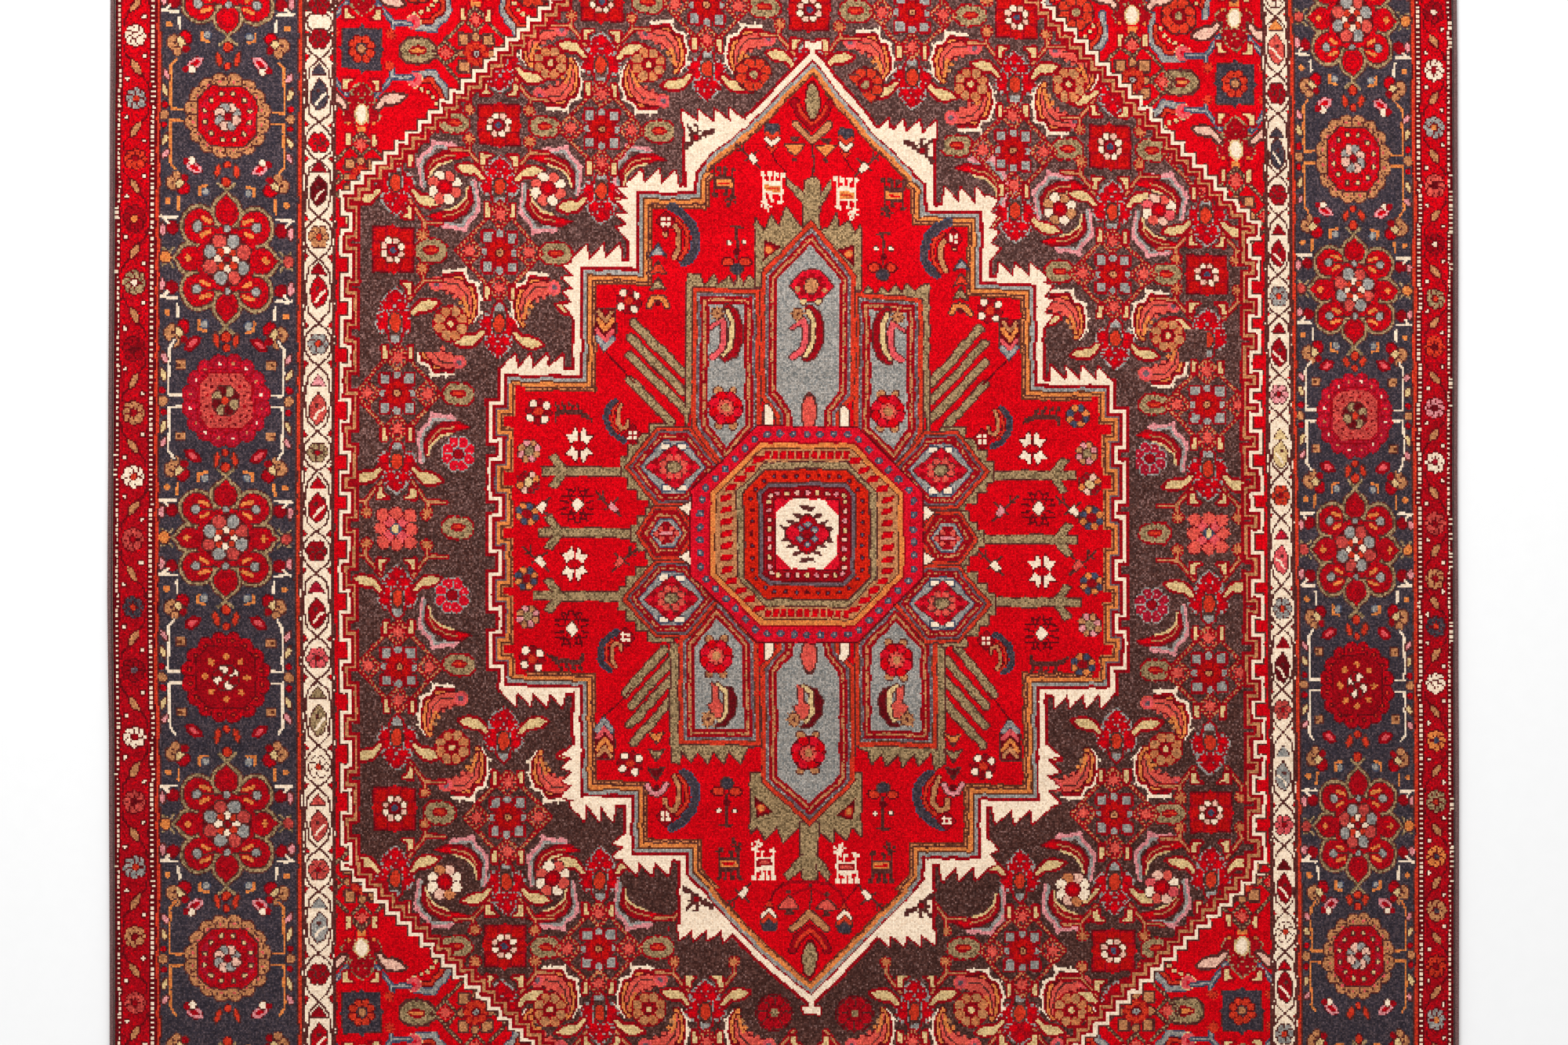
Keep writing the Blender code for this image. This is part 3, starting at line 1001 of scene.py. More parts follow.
def pink_curl(pen):
    pen.path(CURL, 3.0, "pink")
    pen.path(scaled(CURL, 0.94), 1.7, "blue")
    for u, v in ((10.4, 28), (18.4, 16.4), (-1, 26.6)):
        pen.disc(u, v, 1.7, "pink")
    mass = [(-13, 20.5), (-6, 24), (3, 23.2), (11, 19), (15.4, 12), (14.4, 3), (12.6, 3), (11.6, 9.6),
            (5, 15), (-4, 18.4)]
    pen.poly(mass, "crimson", "maroon", 0.5)
    pen.poly([(-12, 20.4), (-6, 22.6), (-1, 21.4), (-4, 18.8)], "red")
    pen.path([(-3, 20.8), (4, 19.6), (9.6, 16.4), (12.6, 11)], 1.0, "tan")
    pen.path([(-1, 17.2), (6, 15), (11.4, 9.6), (12.6, 3.6)], 1.4, "cream")


def blue_curl(pen):
    """The spandrel's leaf: blue round a flame heart, from a pink flower."""
    pen.path(scaled(CURL, 0.98), 3.2, "blue", "slate", 0.7)
    pen.path(scaled(CURL[:-1], 0.82), 2.0, "flame", "maroon", 0.9)
    for u, v in ((-2, 17.5), (2, 16.2), (6, 14.6), (9, 11.6), (11, 8)):
        pen.disc(u, v, 1.3, "cream", "maroon", 0.4)
    pen.disc(-2.4, 22, 4.8, "cream")
    pen.disc(-2.4, 22, 4.5, "hot_pink", None)
    pen.disc(-2.4, 22, 1.4, "rose")


# A rosette's petals by turns, its heart and what lies under it.
ROSETTES = {
    "tan": (("amber", "tan"), "cream", "crimson"),
    "lone_tan": (("amber", "tan"), "cream", "crimson"),
    "flame": ("flame", "olive", "maroon"),
    "crimson": ("madder", "olive", "maroon"),
    "white_coral": (("ivory", "coral"), "red", "crimson"),
    "white_tan": (("ivory", "tan"), "red", "crimson"),
    "rose": ("rose", "crimson", "slate"),
    "old_rose": ("old_rose", "crimson", "slate"),
    "peach": (("ivory", "coral", "peach", "hot_pink"), "red", "crimson"),
    "white_amber": (("ivory", "peach", "amber", "ivory"), "red", "crimson"),
}
# Where a kind differs from the others: its rim's wool, and how far its heart and its ground reach.
ROSETTE_RIM = {"rose": "blue", "old_rose": "blue", "tan": "crimson", "lone_tan": "crimson"}
HEART_REACH = {"rose": 3.0, "old_rose": 3.0, "tan": 3.4, "lone_tan": 3.4}
GROUND_REACH = {"tan": 10.8, "lone_tan": 10.8, "flame": 11.6, "crimson": 11.6}


def cell_rosette(pen, kind):
    petals, heart, under = ROSETTES[kind]
    rim = ROSETTE_RIM.get(kind, "brown")
    reach = HEART_REACH.get(kind, 4.4)
    pen.disc(0, 0, GROUND_REACH.get(kind, 8.6), under)
    pen.beads(8, 7.4, 22.5, 2.9 if "tan" in kind else 3.2, petals, rim, 0.7)
    if "rose" in kind:
        pen.beads(8, 7.4, 22.5, 0.5, "pink")
    pen.disc(0, 0, reach, "crimson", "maroon", 0.5)
    pen.disc(0, 0, reach * 0.55, heart)


# The cells' rosettes, as seen in the photograph: (x, y, kind).
CELLS = ((-158, 285, "tan"), (-98, 284, "tan"), (-34, 278, "flame"), (34, 272, "flame"),
         (98, 272, "tan"), (158, 272, "tan"), (-222, 210, "white_coral"),
         (-159, 209, "white_coral"), (152, 197, "white_tan"), (213, 196, "peach"),
         (-218, 127, "lone_tan"), (218, 120, "lone_tan"), (-213, 48, "rose"),
         (207, 45, "old_rose"), (-216, -38, "rose"), (208, -44, "old_rose"), (-217, -130, "tan"),
         (215, -131, "tan"), (-222, -212, "white_amber"), (-156, -210, "white_coral"),
         (159, -216, "white_amber"), (213, -215, "peach"), (-158, -289, "tan"),
         (-98, -289, "tan"), (-21.5, -291, "crimson"), (27, -291.5, "crimson"),
         (98, -289, "tan"), (158, -289, "tan"), (-98, 362, "white_coral"),
         (-33, 360, "white_tan"), (33, 358, "white_tan"), (98, 356, "white_coral"),
         (-98, -370, "white_coral"), (-33, -370, "white_tan"), (33, -370, "white_tan"),
         (98, -370, "white_coral"))


def nearest_two(places, value):
    """The indices of the places on either side of a value."""
    return sorted(sorted(range(len(places)), key=lambda k: abs(places[k] - value))[:2])


# How much of the dark ground is the browner, darker wool: (row, share). There is more of it towards the
# foot.
UMBER = ((-330, 0.85), (-200, 0.8), (-60, 0.5), (120, 0.35), (245, 0.1), (330, 0.05))

# Nodes of the lattice that the medallion hides, as (column, row).
HIDDEN = {(i, j) for i in (1, 7) for j in (4, 5, 6)} | {(i, j) for i in (2, 6) for j in (3, 7)}
HIDDEN |= {(3, 2), (4, 2), (5, 2), (4, 8)}
BARE = {(3, 8), (5, 8)}  # of these only the lower twigs show
NO_PALMETTE = {(1, 4), (1, 5), (7, 4), (7, 5), (4, 8), (3, 2), (5, 2), (3, 7), (5, 7)}
LEAVES = {(0, 3): (1,), (8, 3): (-1,), (8, 6): ()}  # of palmettes that lack one leaf or both
# Curled leaves whose rosette the medallion hides: (x, y, and the quarter they fill).
LONE_CURLS = ((-100, -212, -1, -1), (100, -216, 1, -1), (101, 200, 1, 1), (-100, 207, -1, 1))
LONE_WHITE_CURLS = ((-161, 127, -1, 1), (149, 119, 1, 1), (-150.5, -133.5, -1, -1),
                    (155, -132, 1, -1))
# How far an oval stands from the middle of its gap, and where that differs, by (gap, row).
USUAL_SHIFT = 3.5
OVAL_SHIFT = {(0, 3): -9.0, (7, 3): 4.0, (0, 7): -7.0, (7, 7): 4.0}
OVAL_SHIFT |= {(gap, row): shift for row in (4, 5, 6) for gap, shift in ((0, 6.5), (7, -5.0))}
NO_OVAL = {(1, 7), (6, 7), (6, 8), (3, 8), (4, 8)}
# How far a node stands from where its column and row cross, by (column, row).
NODE_SHIFT = {(1, 7): (5, -4), (1, 8): (3, 1), (7, 2): (-4.5, 2), (7, 3): (-3, -1), (7, 7): (-3, -1),
              (7, 8): (-4, -3), (6, 2): (-2, -3), (6, 8): (3, -3), (0, 6): (1, -3), (0, 3): (-3, -1),
              (2, 8): (-2, -1), (3, 8): (-2, 1), (5, 8): (2, 0), (0, 7): (-2, 1), (0, 8): (-2, 0),
              (8, 6): (0, -3), (0, 5): (0, -2)}
NODE_REACH = (31.5, 40)  # from a rosette to the node whose curled leaf is drawn without a shift
NO_SIDE_TWIGS = {(0, 3), (0, 7)}
# Plain ground between the medallion's sides and the lattice: (from, to) across, and its half height.
PLAIN_SIDES = ((-203, -180), (180, 198))
PLAIN_HALF = 84


def node_place(i, j):
    across, along = NODE_SHIFT.get((i, j), (0, 0))
    return FIELD_COLUMNS[i] + across, FIELD_ROWS[j] + along


def halfway(first, second):
    return (first[0] + second[0]) / 2, (first[1] + second[1]) / 2


def dye_lattice(loom):
    for i in range(len(FIELD_COLUMNS)):
        for j in range(len(FIELD_ROWS)):
            square = (i + j) % 2 == 1
            if j + 1 < len(FIELD_ROWS) and (i, j) not in NO_PALMETTE:
                x, y = halfway(node_place(i, j), node_place(i, j + 1))
                leaves = LEAVES.get((i, j), (1, -1))
                palmette(Pen(loom, x, y), 1 if square else -1, FIELD_STYLE, leaves)
            if i + 1 < len(FIELD_COLUMNS) and (i, j) not in NO_OVAL:
                x, y = halfway(node_place(i, j), node_place(i + 1, j))
                shift = OVAL_SHIFT.get((i, j), -USUAL_SHIFT if square else USUAL_SHIFT)
                olive_oval(Pen(loom, x + shift, y), FIELD_STYLE)
    for x, seen, kind in CELLS:
        dye_cell(loom, x, lean_at(x, seen), kind)
    for x, y, su, sv in LONE_CURLS:
        pink_curl(Pen(loom, x, lean_at(x, y), 0, su, sv))
    for x, y, su, sv in LONE_WHITE_CURLS:
        white_curl(Pen(loom, x, lean_at(x, y), 0, su, sv))
    for low, high in PLAIN_SIDES:
        beside = (loom.x > low) & (loom.x < high) & (np.abs(loom.y) < PLAIN_HALF)
        loom.dye(beside, "charcoal")
    for i in range(len(FIELD_COLUMNS)):
        for j in range(len(FIELD_ROWS)):
            if (i, j) in HIDDEN:
                continue
            x, y = node_place(i, j)
            if (i + j) % 2:
                kind = "coral" if i in (0, 8) and j == 5 else "tan" if (i, j) == (4, 9) else "red"
                sides = (1,) if (i, j) in NO_SIDE_TWIGS else (1, -1)
                square_node(Pen(loom, x, y), kind, FIELD_STYLE, sides)
                if (i, j) in BARE:
                    Pen(loom, x, y).box(0, 0, 15.2, 18, "charcoal")
                    Pen(loom, x - math.copysign(26, x), y - 16.5).box(0, 0, 6.4, 3, "charcoal")
            else:
                diamond_node(Pen(loom, x, y), FIELD_STYLE)


def dye_cell(loom, x, y, kind):
    """A rosette between four nodes, with a curled leaf on each side that faces a dotted one."""
    pen = Pen(loom, x, y)
    left, right = nearest_two(FIELD_COLUMNS, x)
    low, high = nearest_two(FIELD_ROWS, y)
    for i, su in ((left, -1), (right, 1)):
        for j, sv in ((low, 1), (high, -1)):
            towards_medallion = abs(x) < 60 and sv * y < 0 or "rose" in kind and su * x < 0
            if (i + j) % 2 == 0 and not towards_medallion:
                curl = white_curl if WHITE_LEAVES[low] else pink_curl
                node_x, node_y = node_place(i, j)
                u, v = node_x - x - su * NODE_REACH[0], node_y - y - sv * NODE_REACH[1]
                curl(pen.at(u, v, 0, su, sv))
    if kind == "lone_tan":
        pen.box(math.copysign(15.5, x), -6.5, 8.5, 10.5, "charcoal")
    cell_rosette(pen, kind)


# ----------------------------------------------------------------- the spandrels

SPANDREL_COLUMNS = {-1: (-272.5, -203, -134, -65), 1: (260.5, 197, 130, 65)}
SPANDREL_ROWS = ((204, 283, 361, 439), (-212, -290.5, -368, -446))
SPANDREL_HALF = 34.5  # from a column to the middle of its gap


def dye_spandrels(loom):
    for side, columns in SPANDREL_COLUMNS.items():
        for rows in SPANDREL_ROWS:
            dye_spandrel(loom, side, columns, rows)


def dye_spandrel(loom, side, columns, rows):
    away = 1 if rows[0] > 0 else -1
    for i, x in enumerate(columns):
        for j, y in enumerate(rows):
            pen = Pen(loom, x, y, 0, -side, away)
            square = (i + j) % 2
            half = abs(rows[1] - rows[0]) / 2
            palmette(pen.at(0, half), -1 if square else 1, SPANDREL_STYLE)
            olive_oval(pen.at(34 if square else 36, 0), SPANDREL_STYLE)
            cell = pen.at(SPANDREL_HALF, half)
            for su in (1, -1):
                if i + j > 0 or su > 0:
                    blue_curl(cell.at(0, 0, 0, su, -su if square else su))
            if j == 1 or i:
                cell_rosette(cell, "flame")
    for i, x in enumerate(columns):
        for j, y in enumerate(rows):
            pen = Pen(loom, x, y, 0, -side, away)
            if (i + j) % 2:
                square_node(pen, "navy", SPANDREL_STYLE)
            else:
                diamond_node(pen, SPANDREL_STYLE)


# ---------------------------------------------------------------- the medallion

# The inner edge of the medallion's ivory frame, and where the ivory ends outside it. All of the
# medallion's places are as seen in the photograph, (x, y) from its middle.
LEFT_NOTCHES = (79, 56.5, 45.5, 21, 10.5, -11, -25, -45.5, -60.5, -80.5)
RIGHT_NOTCHES = (74, 52, 43, 19, 9.5, -17, -28, -50.5, -59.5, -82)
TOP_LEFT = ((2, 288.4), (-10, 277.2), (-30, 257.4), (-40, 247.6), (-60, 231.5), (-71, 218.5),
            (-72, 208.5), (-106.5, 208), (-106.5, 162), (-140, 162.5), (-140, 97), (-186.5, 98))
TOP_RIGHT = ((2, 288.4), (10, 279.8), (20, 266.3), (40, 243.6), (72, 212), (72.5, 197),
             (106.5, 196), (106, 153.5), (138.5, 152.5), (139.5, 91.5), (183.8, 90.5))
BOTTOM_LEFT = ((-186.5, -93.5), (-140.5, -95.5), (-140.5, -161.5), (-109.5, -161.5),
               (-109.5, -196.5), (-76.5, -196.5), (-76.5, -207.5), (-40, -247.3), (-30, -257.6),
               (-20, -265.6), (1, -282.2))
BOTTOM_RIGHT = ((183.8, -95.5), (140.5, -95.5), (140.5, -163.3), (104.5, -163.3), (104.5, -199),
                (70.5, -199), (70.5, -211), (60, -222.6), (40, -243), (1, -282.2))
OUT_TOP_LEFT = ((2, 294), (-41, 251.2), (-76, 248.5), (-76, 211), (-110, 211), (-110, 165.5),
                (-143.5, 165.5), (-143.5, 99.5), (-188.6, 100))
OUT_TOP_RIGHT = ((2, 294), (10, 285.2), (40.5, 247.5), (76, 241.5), (76, 199.5), (109.5, 198.5),
                 (109.5, 156), (142, 155), (142.5, 93.2), (186.1, 92.2))
OUT_BOTTOM_LEFT = ((-188.6, -96), (-144, -97.8), (-144, -164.5), (-112.5, -165.5), (-112.5, -199.5),
                   (-79.5, -199), (-79.5, -239), (-50, -241.5), (-30, -262), (-20, -270), (1, -287.6))
OUT_BOTTOM_RIGHT = ((186.1, -98), (143.5, -98), (144.5, -166), (108, -166.5), (108, -201.5),
                    (75, -201.5), (75, -242), (45, -242.5), (20, -267.8), (1, -287.6))
NOTCH = {-1: (-187.2, -193.2), 1: (186.4, 191.6)}
RIM = 1.9  # the ivory's width along the notched sides

# Sawteeth on the ivory: (start, end, count, reach, where the peak stands between them).
TEETH = (((-77, 250), (-39, 251), 4, 6.5, 0.04), ((-111, 213), (-80, 213), 3, 7.5, 0.92),
         ((-111, 178), (-111, 210), 4, 6.0, 0.85), ((-144.5, 167.5), (-114, 167), 3, 7.8, 0.92),
         ((-144.5, 132), (-144.5, 164), 4, 5.0, 0.8), ((-187, 101.5), (-149, 101), 4, 7.2, 0.92),
         ((39, 244), (77, 243), 4, 7.0, 0.96), ((81, 201.5), (110.5, 200.5), 3, 8.5, 0.08),
         ((110.5, 204), (110.5, 166), 4, 4.2, 0.2), ((114, 157), (143, 156.5), 3, 7.6, 0.08),
         ((143, 152), (143, 125), 3, 5.0, 0.2), ((146, 94), (184, 93), 4, 7.2, 0.08),
         ((-149, -98.5), (-187, -97), 4, 7.4, 0.1), ((-145, -162), (-145, -128), 4, 6.0, 0.25),
         ((-118, -167), (-145, -166.5), 3, 8.0, 0.1), ((-113.5, -199), (-113.5, -183), 2, 6.0, 0.25),
         ((-85, -200.5), (-113.5, -200.5), 3, 7.2, 0.1), ((-45, -242), (-80.5, -241), 4, 5.5, 0.92),
         ((185, -98.5), (148, -98.5), 4, 7.4, 0.9), ((145.5, -128), (145.5, -166), 4, 6.5, 0.75),
         ((145.5, -167.5), (111, -168), 3, 8.6, 0.9), ((109, -186), (109, -203), 2, 4.5, 0.7),
         ((109, -203), (79, -203), 3, 7.8, 0.9), ((76, -244), (40, -245), 4, 5.5, 0.06))

FAR = 600  # deeper than any knot of the medallion
MEDALLION_BANDS = ((0, 2.7, "crimson"), (2.7, 4.7, "blue"), (4.7, 5.3, "bark"), (5.3, 7.7, "orange"),
                   (7.7, 8.4, "brown"), (8.4, 9.8, "amber"), (9.8, 10.4, "bark"), (10.4, FAR, "red"))
# The same bands along the notched sides, where they are narrower.
NOTCH_BANDS = ((0, 2.1, "crimson"), (2.1, 3.1, "mauve"), (3.1, 5.2, "orange"), (5.2, 6.3, "bark"),
               (6.3, 7.6, "amber"), (7.6, 24, "red"))
NOTCHED_SIDE = (172, 88)  # past this far across, up to this far along
SLOPING = (62, 216)  # up to this far across, past this far along
SLOPING_SCALE = 1.45  # how much deeper than its distance a knot counts along the slopes
# Round the frame's two ends the dark ground is plain: (from, to) along, and how far out.
PLAIN_ENDS = (236, 282)
PLAIN_REACH = 5.5
FRAME_LINE = 0.95
OUTER_REACH, INNER_REACH = 20, 40  # how far from the two lines their distances are measured
# The dashes along the amber band: its depth, half its width, and the share of its knots.
DASHES = (9.0, 1.2, 0.3)
NOTCH_DASHES = (6.9, 0.8, 0.3)


def as_drawn(points):
    return [(x, lean_at(x, y)) for x, y in points]


def spot(loom, x, y, sx=1.0, sy=1.0):
    """A pen at a place seen in the photograph, stretched so much, or mirrored where negative."""
    return Pen(loom, x, lean_at(x, y), 0, sx, sy)


def lay_out(loom, motifs):
    """Each motif at its places, given as for `spot`, with what else it needs."""
    for motif, places, *rest in motifs:
        for place in places:
            motif(spot(loom, *place), *rest)


def dye_seen(loom, points, wool, rim=None, rim_width=1.0):
    """An outline seen in the photograph."""
    Pen(loom, 0, 0).poly(as_drawn(points), wool, rim, rim_width)


def notched(side, notches, shift, start, end):
    """The steps down one side, between the corners whose x are given."""
    inner, outer = (value + side * shift for value in NOTCH[side])
    points = []
    for k, y in enumerate(notches):
        way = -1 if k % 2 else 1
        points += [(x, y + shift * way) for x in (inner, outer)[::way]]
    return [(start, points[0][1])] + points[1:-1] + [(end, points[-1][1])]


def frame_outline(top_left, bottom_left, bottom_right, top_right, shift):
    left = list(top_left) + notched(-1, LEFT_NOTCHES, shift, top_left[-1][0], bottom_left[0][0])
    left += bottom_left
    right = list(top_right) + notched(1, RIGHT_NOTCHES, shift, top_right[-1][0], bottom_right[0][0])
    right += bottom_right
    return as_drawn(left + list(reversed(right))[1:-1])


def teeth(start, end, count, reach, lean):
    """The outlines of ivory sawteeth on the left-hand side of a line."""
    (x0, y0), (x1, y1) = as_drawn((start, end))
    length = math.hypot(x1 - x0, y1 - y0)
    side_x, side_y = -(y1 - y0) / length, (x1 - x0) / length
    for k in range(count):
        a, b, peak = k / count, (k + 1) / count, (k + lean) / count
        outline = ((a, -3.5), (a, -1.2), (peak, reach), (b, -1.2), (b, -3.5))
        yield [(x0 + (x1 - x0) * share + side_x * out, y0 + (y1 - y0) * share + side_y * out)
               for share, out in outline]


def dashed(loom, depth, dashes):
    """The knots that fall in dashes along a band."""
    centre, half, share = dashes
    return (np.abs(depth - centre) < half) & (loom.speckle < share)


def dye_medallion_frame(loom):
    outer = loom.outline_depth(
        frame_outline(OUT_TOP_LEFT, OUT_BOTTOM_LEFT, OUT_BOTTOM_RIGHT, OUT_TOP_RIGHT, RIM), OUTER_REACH)
    inner = loom.outline_depth(
        frame_outline(TOP_LEFT, BOTTOM_LEFT, BOTTOM_RIGHT, TOP_RIGHT, 0.0), INNER_REACH)
    across, along = np.abs(loom.x), np.abs(loom.y)
    loom.dye((outer > -PLAIN_REACH) & (along > PLAIN_ENDS[0]) & (along < PLAIN_ENDS[1]), "charcoal")
    loom.dye(outer > -FRAME_LINE, "crimson")
    pen = Pen(loom, 0, 0)
    outlines = [points for tooth in TEETH for points in teeth(*tooth)]
    for wool, rim in (("crimson", "crimson"), ("ivory", None)):
        for points in outlines:
            pen.poly(points, wool, rim, 1.1)
    loom.dye((outer > 0) & (inner <= 0), "ivory")
    sloping = (along > SLOPING[1]) & (across < SLOPING[0])
    inner = np.where(sloping & (inner > 0), inner * SLOPING_SCALE, inner)
    dye_bands(loom, inner, MEDALLION_BANDS)
    loom.dye(dashed(loom, inner, DASHES), "bark")
    notched_side = (across > NOTCHED_SIDE[0]) & (along < NOTCHED_SIDE[1])
    dye_bands(loom, np.where(notched_side, inner, -1), NOTCH_BANDS)
    loom.dye(notched_side & dashed(loom, inner, NOTCH_DASHES), "bark")


ANIMAL = ("WW.WW.WW.WW",
          "WW.WW.WW.WW",
          ".W..W.W..W.",
          ".W..W.W..W.",
          ".WWWWWWWWW.",
          ".WWWWWWWWW.",
          ".WOOOOOOOW.",
          ".WOFFFFFOW.",
          ".WOOOOOOOW.",
          ".WWWWWWWWW.",
          ".W..W....W.",
          ".W..W....W.",
          ".WW.WW..WWW",
          "WWW.....WW.",
          ".WWW.......",
          "W.W.W......",
          "..WW.......",
          "...W.......")
BEAST = ("NN..........",
         "NNN.........",
         ".NNN........",
         "...NNN......",
         "...NRRN.....",
         "..NNRRNNN...",
         "...NNN.NNNN.",
         "..NN.NN.NNNN",
         ".NN..N....NN",
         ".N..NN......")
RUNNER = ("N..N..N..N......",
          "NN.NN.NN.NN.....",
          ".N..N..N..N.....",
          ".NNNNNNNNNNN....",
          "NNNNNNNNNNNNNN..",
          "NN.........NNNN.",
          "N............NNN",
          "N..............N")


def finial(pen, apart):
    """At each tip: an olive oval over two chevrons, which hang lower by `apart`."""
    low = pen.at(0, -apart)
    low.path([(-10.6, 1), (-7.4, -6), (0, -12.6), (7.4, -6), (10.6, 1)], 4.6, "crimson", "maroon", 0.7)
    low.path([(-9, -0.6), (-6.4, -5.6), (0, -11.4), (6.4, -5.6), (9, -0.6)], 1.9, "flame")
    pen.disc(0, 1, 4.2, "olive", "maroon", 0.9, r2=9.8)
    low.path([(-10.4, -12), (0, -21.6), (10.4, -12)], 3.6, "tan", "brown", 0.9)


def cap_flower(pen):
    """A small flower: navy cap, orange and white chevrons, flame tip."""
    pen.poly([(-4.6, 4), (-3.6, 8.5), (3.6, 8.5), (4.6, 4), (4, 2), (-4, 2)], "navy", "brown", 0.6)
    pen.path([(-3.4, 2.6), (0, -1), (3.4, 2.6)], 2.4, "flame", "brown", 0.5)
    pen.path([(-3.6, -0.6), (0, -4.4), (3.6, -0.6)], 2.1, "ivory", "brown", 0.5)
    pen.poly([(-3, -5.4), (0, -10), (3, -5.4), (0, -6.8)], "flame", "maroon", 0.6)
    pen.path([(0, -10), (3, -15), (9, -21)], 0.9, "maroon")


def cup_flower(pen, wool):
    pen.poly([(-6, 3), (6, 3), (3, -1), (0, -3.6), (-3, -1)], wool, "brown", 0.9)
    pen.poly([(-3.5, 7.6), (3.5, 7.6), (1.5, 4.6), (-1.5, 4.6)], "brown")
    pen.disc(0, -6.4, 1.6, "brown", r2=1.2)


def twig_flower(pen, wool):
    """A petal on a slanting dark twig."""
    pen = pen.at(0, 0, 0, 0.9, 0.9)
    pen.path([(-11, 10), (-7, 6), (0, 0), (5.5, -6)], 1.7, "brown")
    pen.path([(-5, -1.6), (4.5, 6)], 1.5, "brown")
    pen.path([(-10, 5.4), (-6, 6.4), (-6.4, 11)], 1.3, "brown")
    pen.poly([(-3, 0.5), (0, 4.4), (3.8, -1.4), (1.4, -3.8)], wool, "brown", 0.6)


def tongue_flower(pen):
    """A dark flower with two flame petals, on a stem between two white dots."""
    for su in (1, -1):
        pen.disc(su * 5.2, -6.2, 3.1, "flame", "maroon", 0.9, r2=2.2)
        pen.disc(su * 4.6, 5.4, 1.2, "ivory", "brown", 0.6)
        pen.path([(0, 15), (su * 3.6, 14.4)], 1.5, "brown")
    pen.path([(0, 14), (0, -4)], 1.9, "brown")
    pen.disc(0, 0, 2.2, "maroon")
    pen.disc(0, -10.6, 3.7, "navy", "brown", 0.6, r2=3.2)


def crescent(pen):
    """A navy crescent with a flame and a tan stripe inside, bulging to +u."""
    bow = [(-8, 17.6), (-1.4, 14), (4.6, 7.6), (7, 0), (6.4, -7), (3, -12.6), (-1, -15)]
    pen.path(bow, 4.4, "navy", "slate", 0.6)
    pen.path([(-5, 10), (0, 6.4), (2.0, 0), (0.6, -8), (-3.4, -13.4)], 1.8, "flame", "maroon", 0.7)
    pen.path([(-11.6, 1), (-11, 6), (-6.6, 7.6), (-3.4, 3), (-3.4, -6), (-6.4, -12.6)], 2.7, "tan",
             "maroon", 0.7)


def diamond_flower(pen):
    pen.poly([(-5.4, 0), (0, 6), (5.4, 0), (0, -6)], "crimson", "maroon", 0.7)
    pen.beads(4, 2.2, 45, 1.25, "ivory")
    pen.disc(0, 0, 0.8, "crimson")


def dotted_flower(pen):
    """Four white dots round a flame heart."""
    pen.beads(4, 5.6, -10, 2.0, "crimson", "maroon", 0.6)
    pen.beads(4, 6.0, 35, 2.1, "ivory", "brown", 0.6)
    pen.disc(0, 0, 2.4, "flame", "crimson", 0.8)


def tall_palmette(pen):
    """Orange zigzags and pink chevrons above a blue tip."""
    pen.poly([(-5.6, 12), (5.6, 12), (6, -4), (0, -13.5), (-6, -4)], "maroon", "brown", 0.8)
    pen.path([(-4.4, -5.5), (0, -11), (4.4, -5.5)], 2.8, "blue", "slate", 0.5)
    pen.path([(-4.6, -1), (0, -6.4), (4.6, -1)], 2.4, "hot_pink")
    pen.path([(-4.4, 6), (-2, 2), (0, -0.6), (2, 2), (4.4, 6)], 2.4, "orange")
    pen.path([(-4.0, 10), (0, 4.4), (4.0, 10)], 2.2, "tan")
    pen.disc(0, 10.5, 1.6, "crimson")


def eight_star(pen):
    """A white star of eight points with a red heart."""
    petal = [(0.9, 3.0), (1.0, 7.2), (2.3, 10.2), (3.7, 8.6), (4.5, 6.1), (8.3, 5.8), (6.6, 3.6),
             (5.0, 0.8), (3.7, 2.0), (2.6, 3.2)]
    for wool, rim in (("maroon", "maroon"), ("ivory", None)):
        for q in pen.quarters():
            q.poly(petal, wool, rim, 0.6)
    pen.poly([(-2.4, 0), (0, 2.4), (2.4, 0), (0, -2.4)], "red", "crimson", 0.7)


def lozenge_star(pen):
    """A white lozenge between dark hooked arms."""
    for q in pen.quarters():
        q.path([(1.5, 5.6), (9.4, 5.2)], 1.3, "maroon")
        q.path([(3.4, 3.0), (6.0, 9.6), (1.4, 8.2)], 1.2, "maroon")
        q.path([(0.8, 10.6), (2.8, 6.4)], 1.1, "maroon")
        q.path([(5.2, 1.4), (9.8, 2.6)], 1.3, "maroon")
    pen.poly([(-3.6, 0), (0, 4.6), (3.6, 0), (0, -4.6)], "ivory", "brown", 0.6)


def side_rosette(pen, petals, heart):
    """A small rosette: its petals are of each wool by turns."""
    pen.disc(0, 0, 6.9, "maroon")
    pen.beads(8, 5.1, 22.5, 1.9, petals, "brown", 0.6)
    pen.disc(0, 0, 2.7, heart, "brown", 0.5)


# Olive bars that fork towards their outer ends: (side, row, start, end and fork across).
FORK_BARS = ((-1, 37.5, 108, 162, 147), (-1, 0, 104, 164, 150), (-1, -38.5, 112, 167, 150),
             (1, 35, 106, 162, 147), (1, -4, 103, 163, 150), (1, -42, 110, 165, 149))


def fork_bar(loom, side, y, start, end, fork):
    pen = Pen(loom, 0, lean_at(side * 135, y), 0, side, 1)
    middle_u, half_u = (start + end) / 2, (end - start) / 2
    pen.box(middle_u, 0, half_u, 2.5, "olive", "brown", 0.7)
    for way in (1, -1):
        prong = [(fork - 1.0, way), (fork + 6.4, way * 10.6), (fork + 10.6, way * 9.0), (fork + 4.6, way)]
        pen.poly(prong, "olive", "brown", 0.7)
    pen.box(middle_u, 0, half_u, 1.8, "olive")


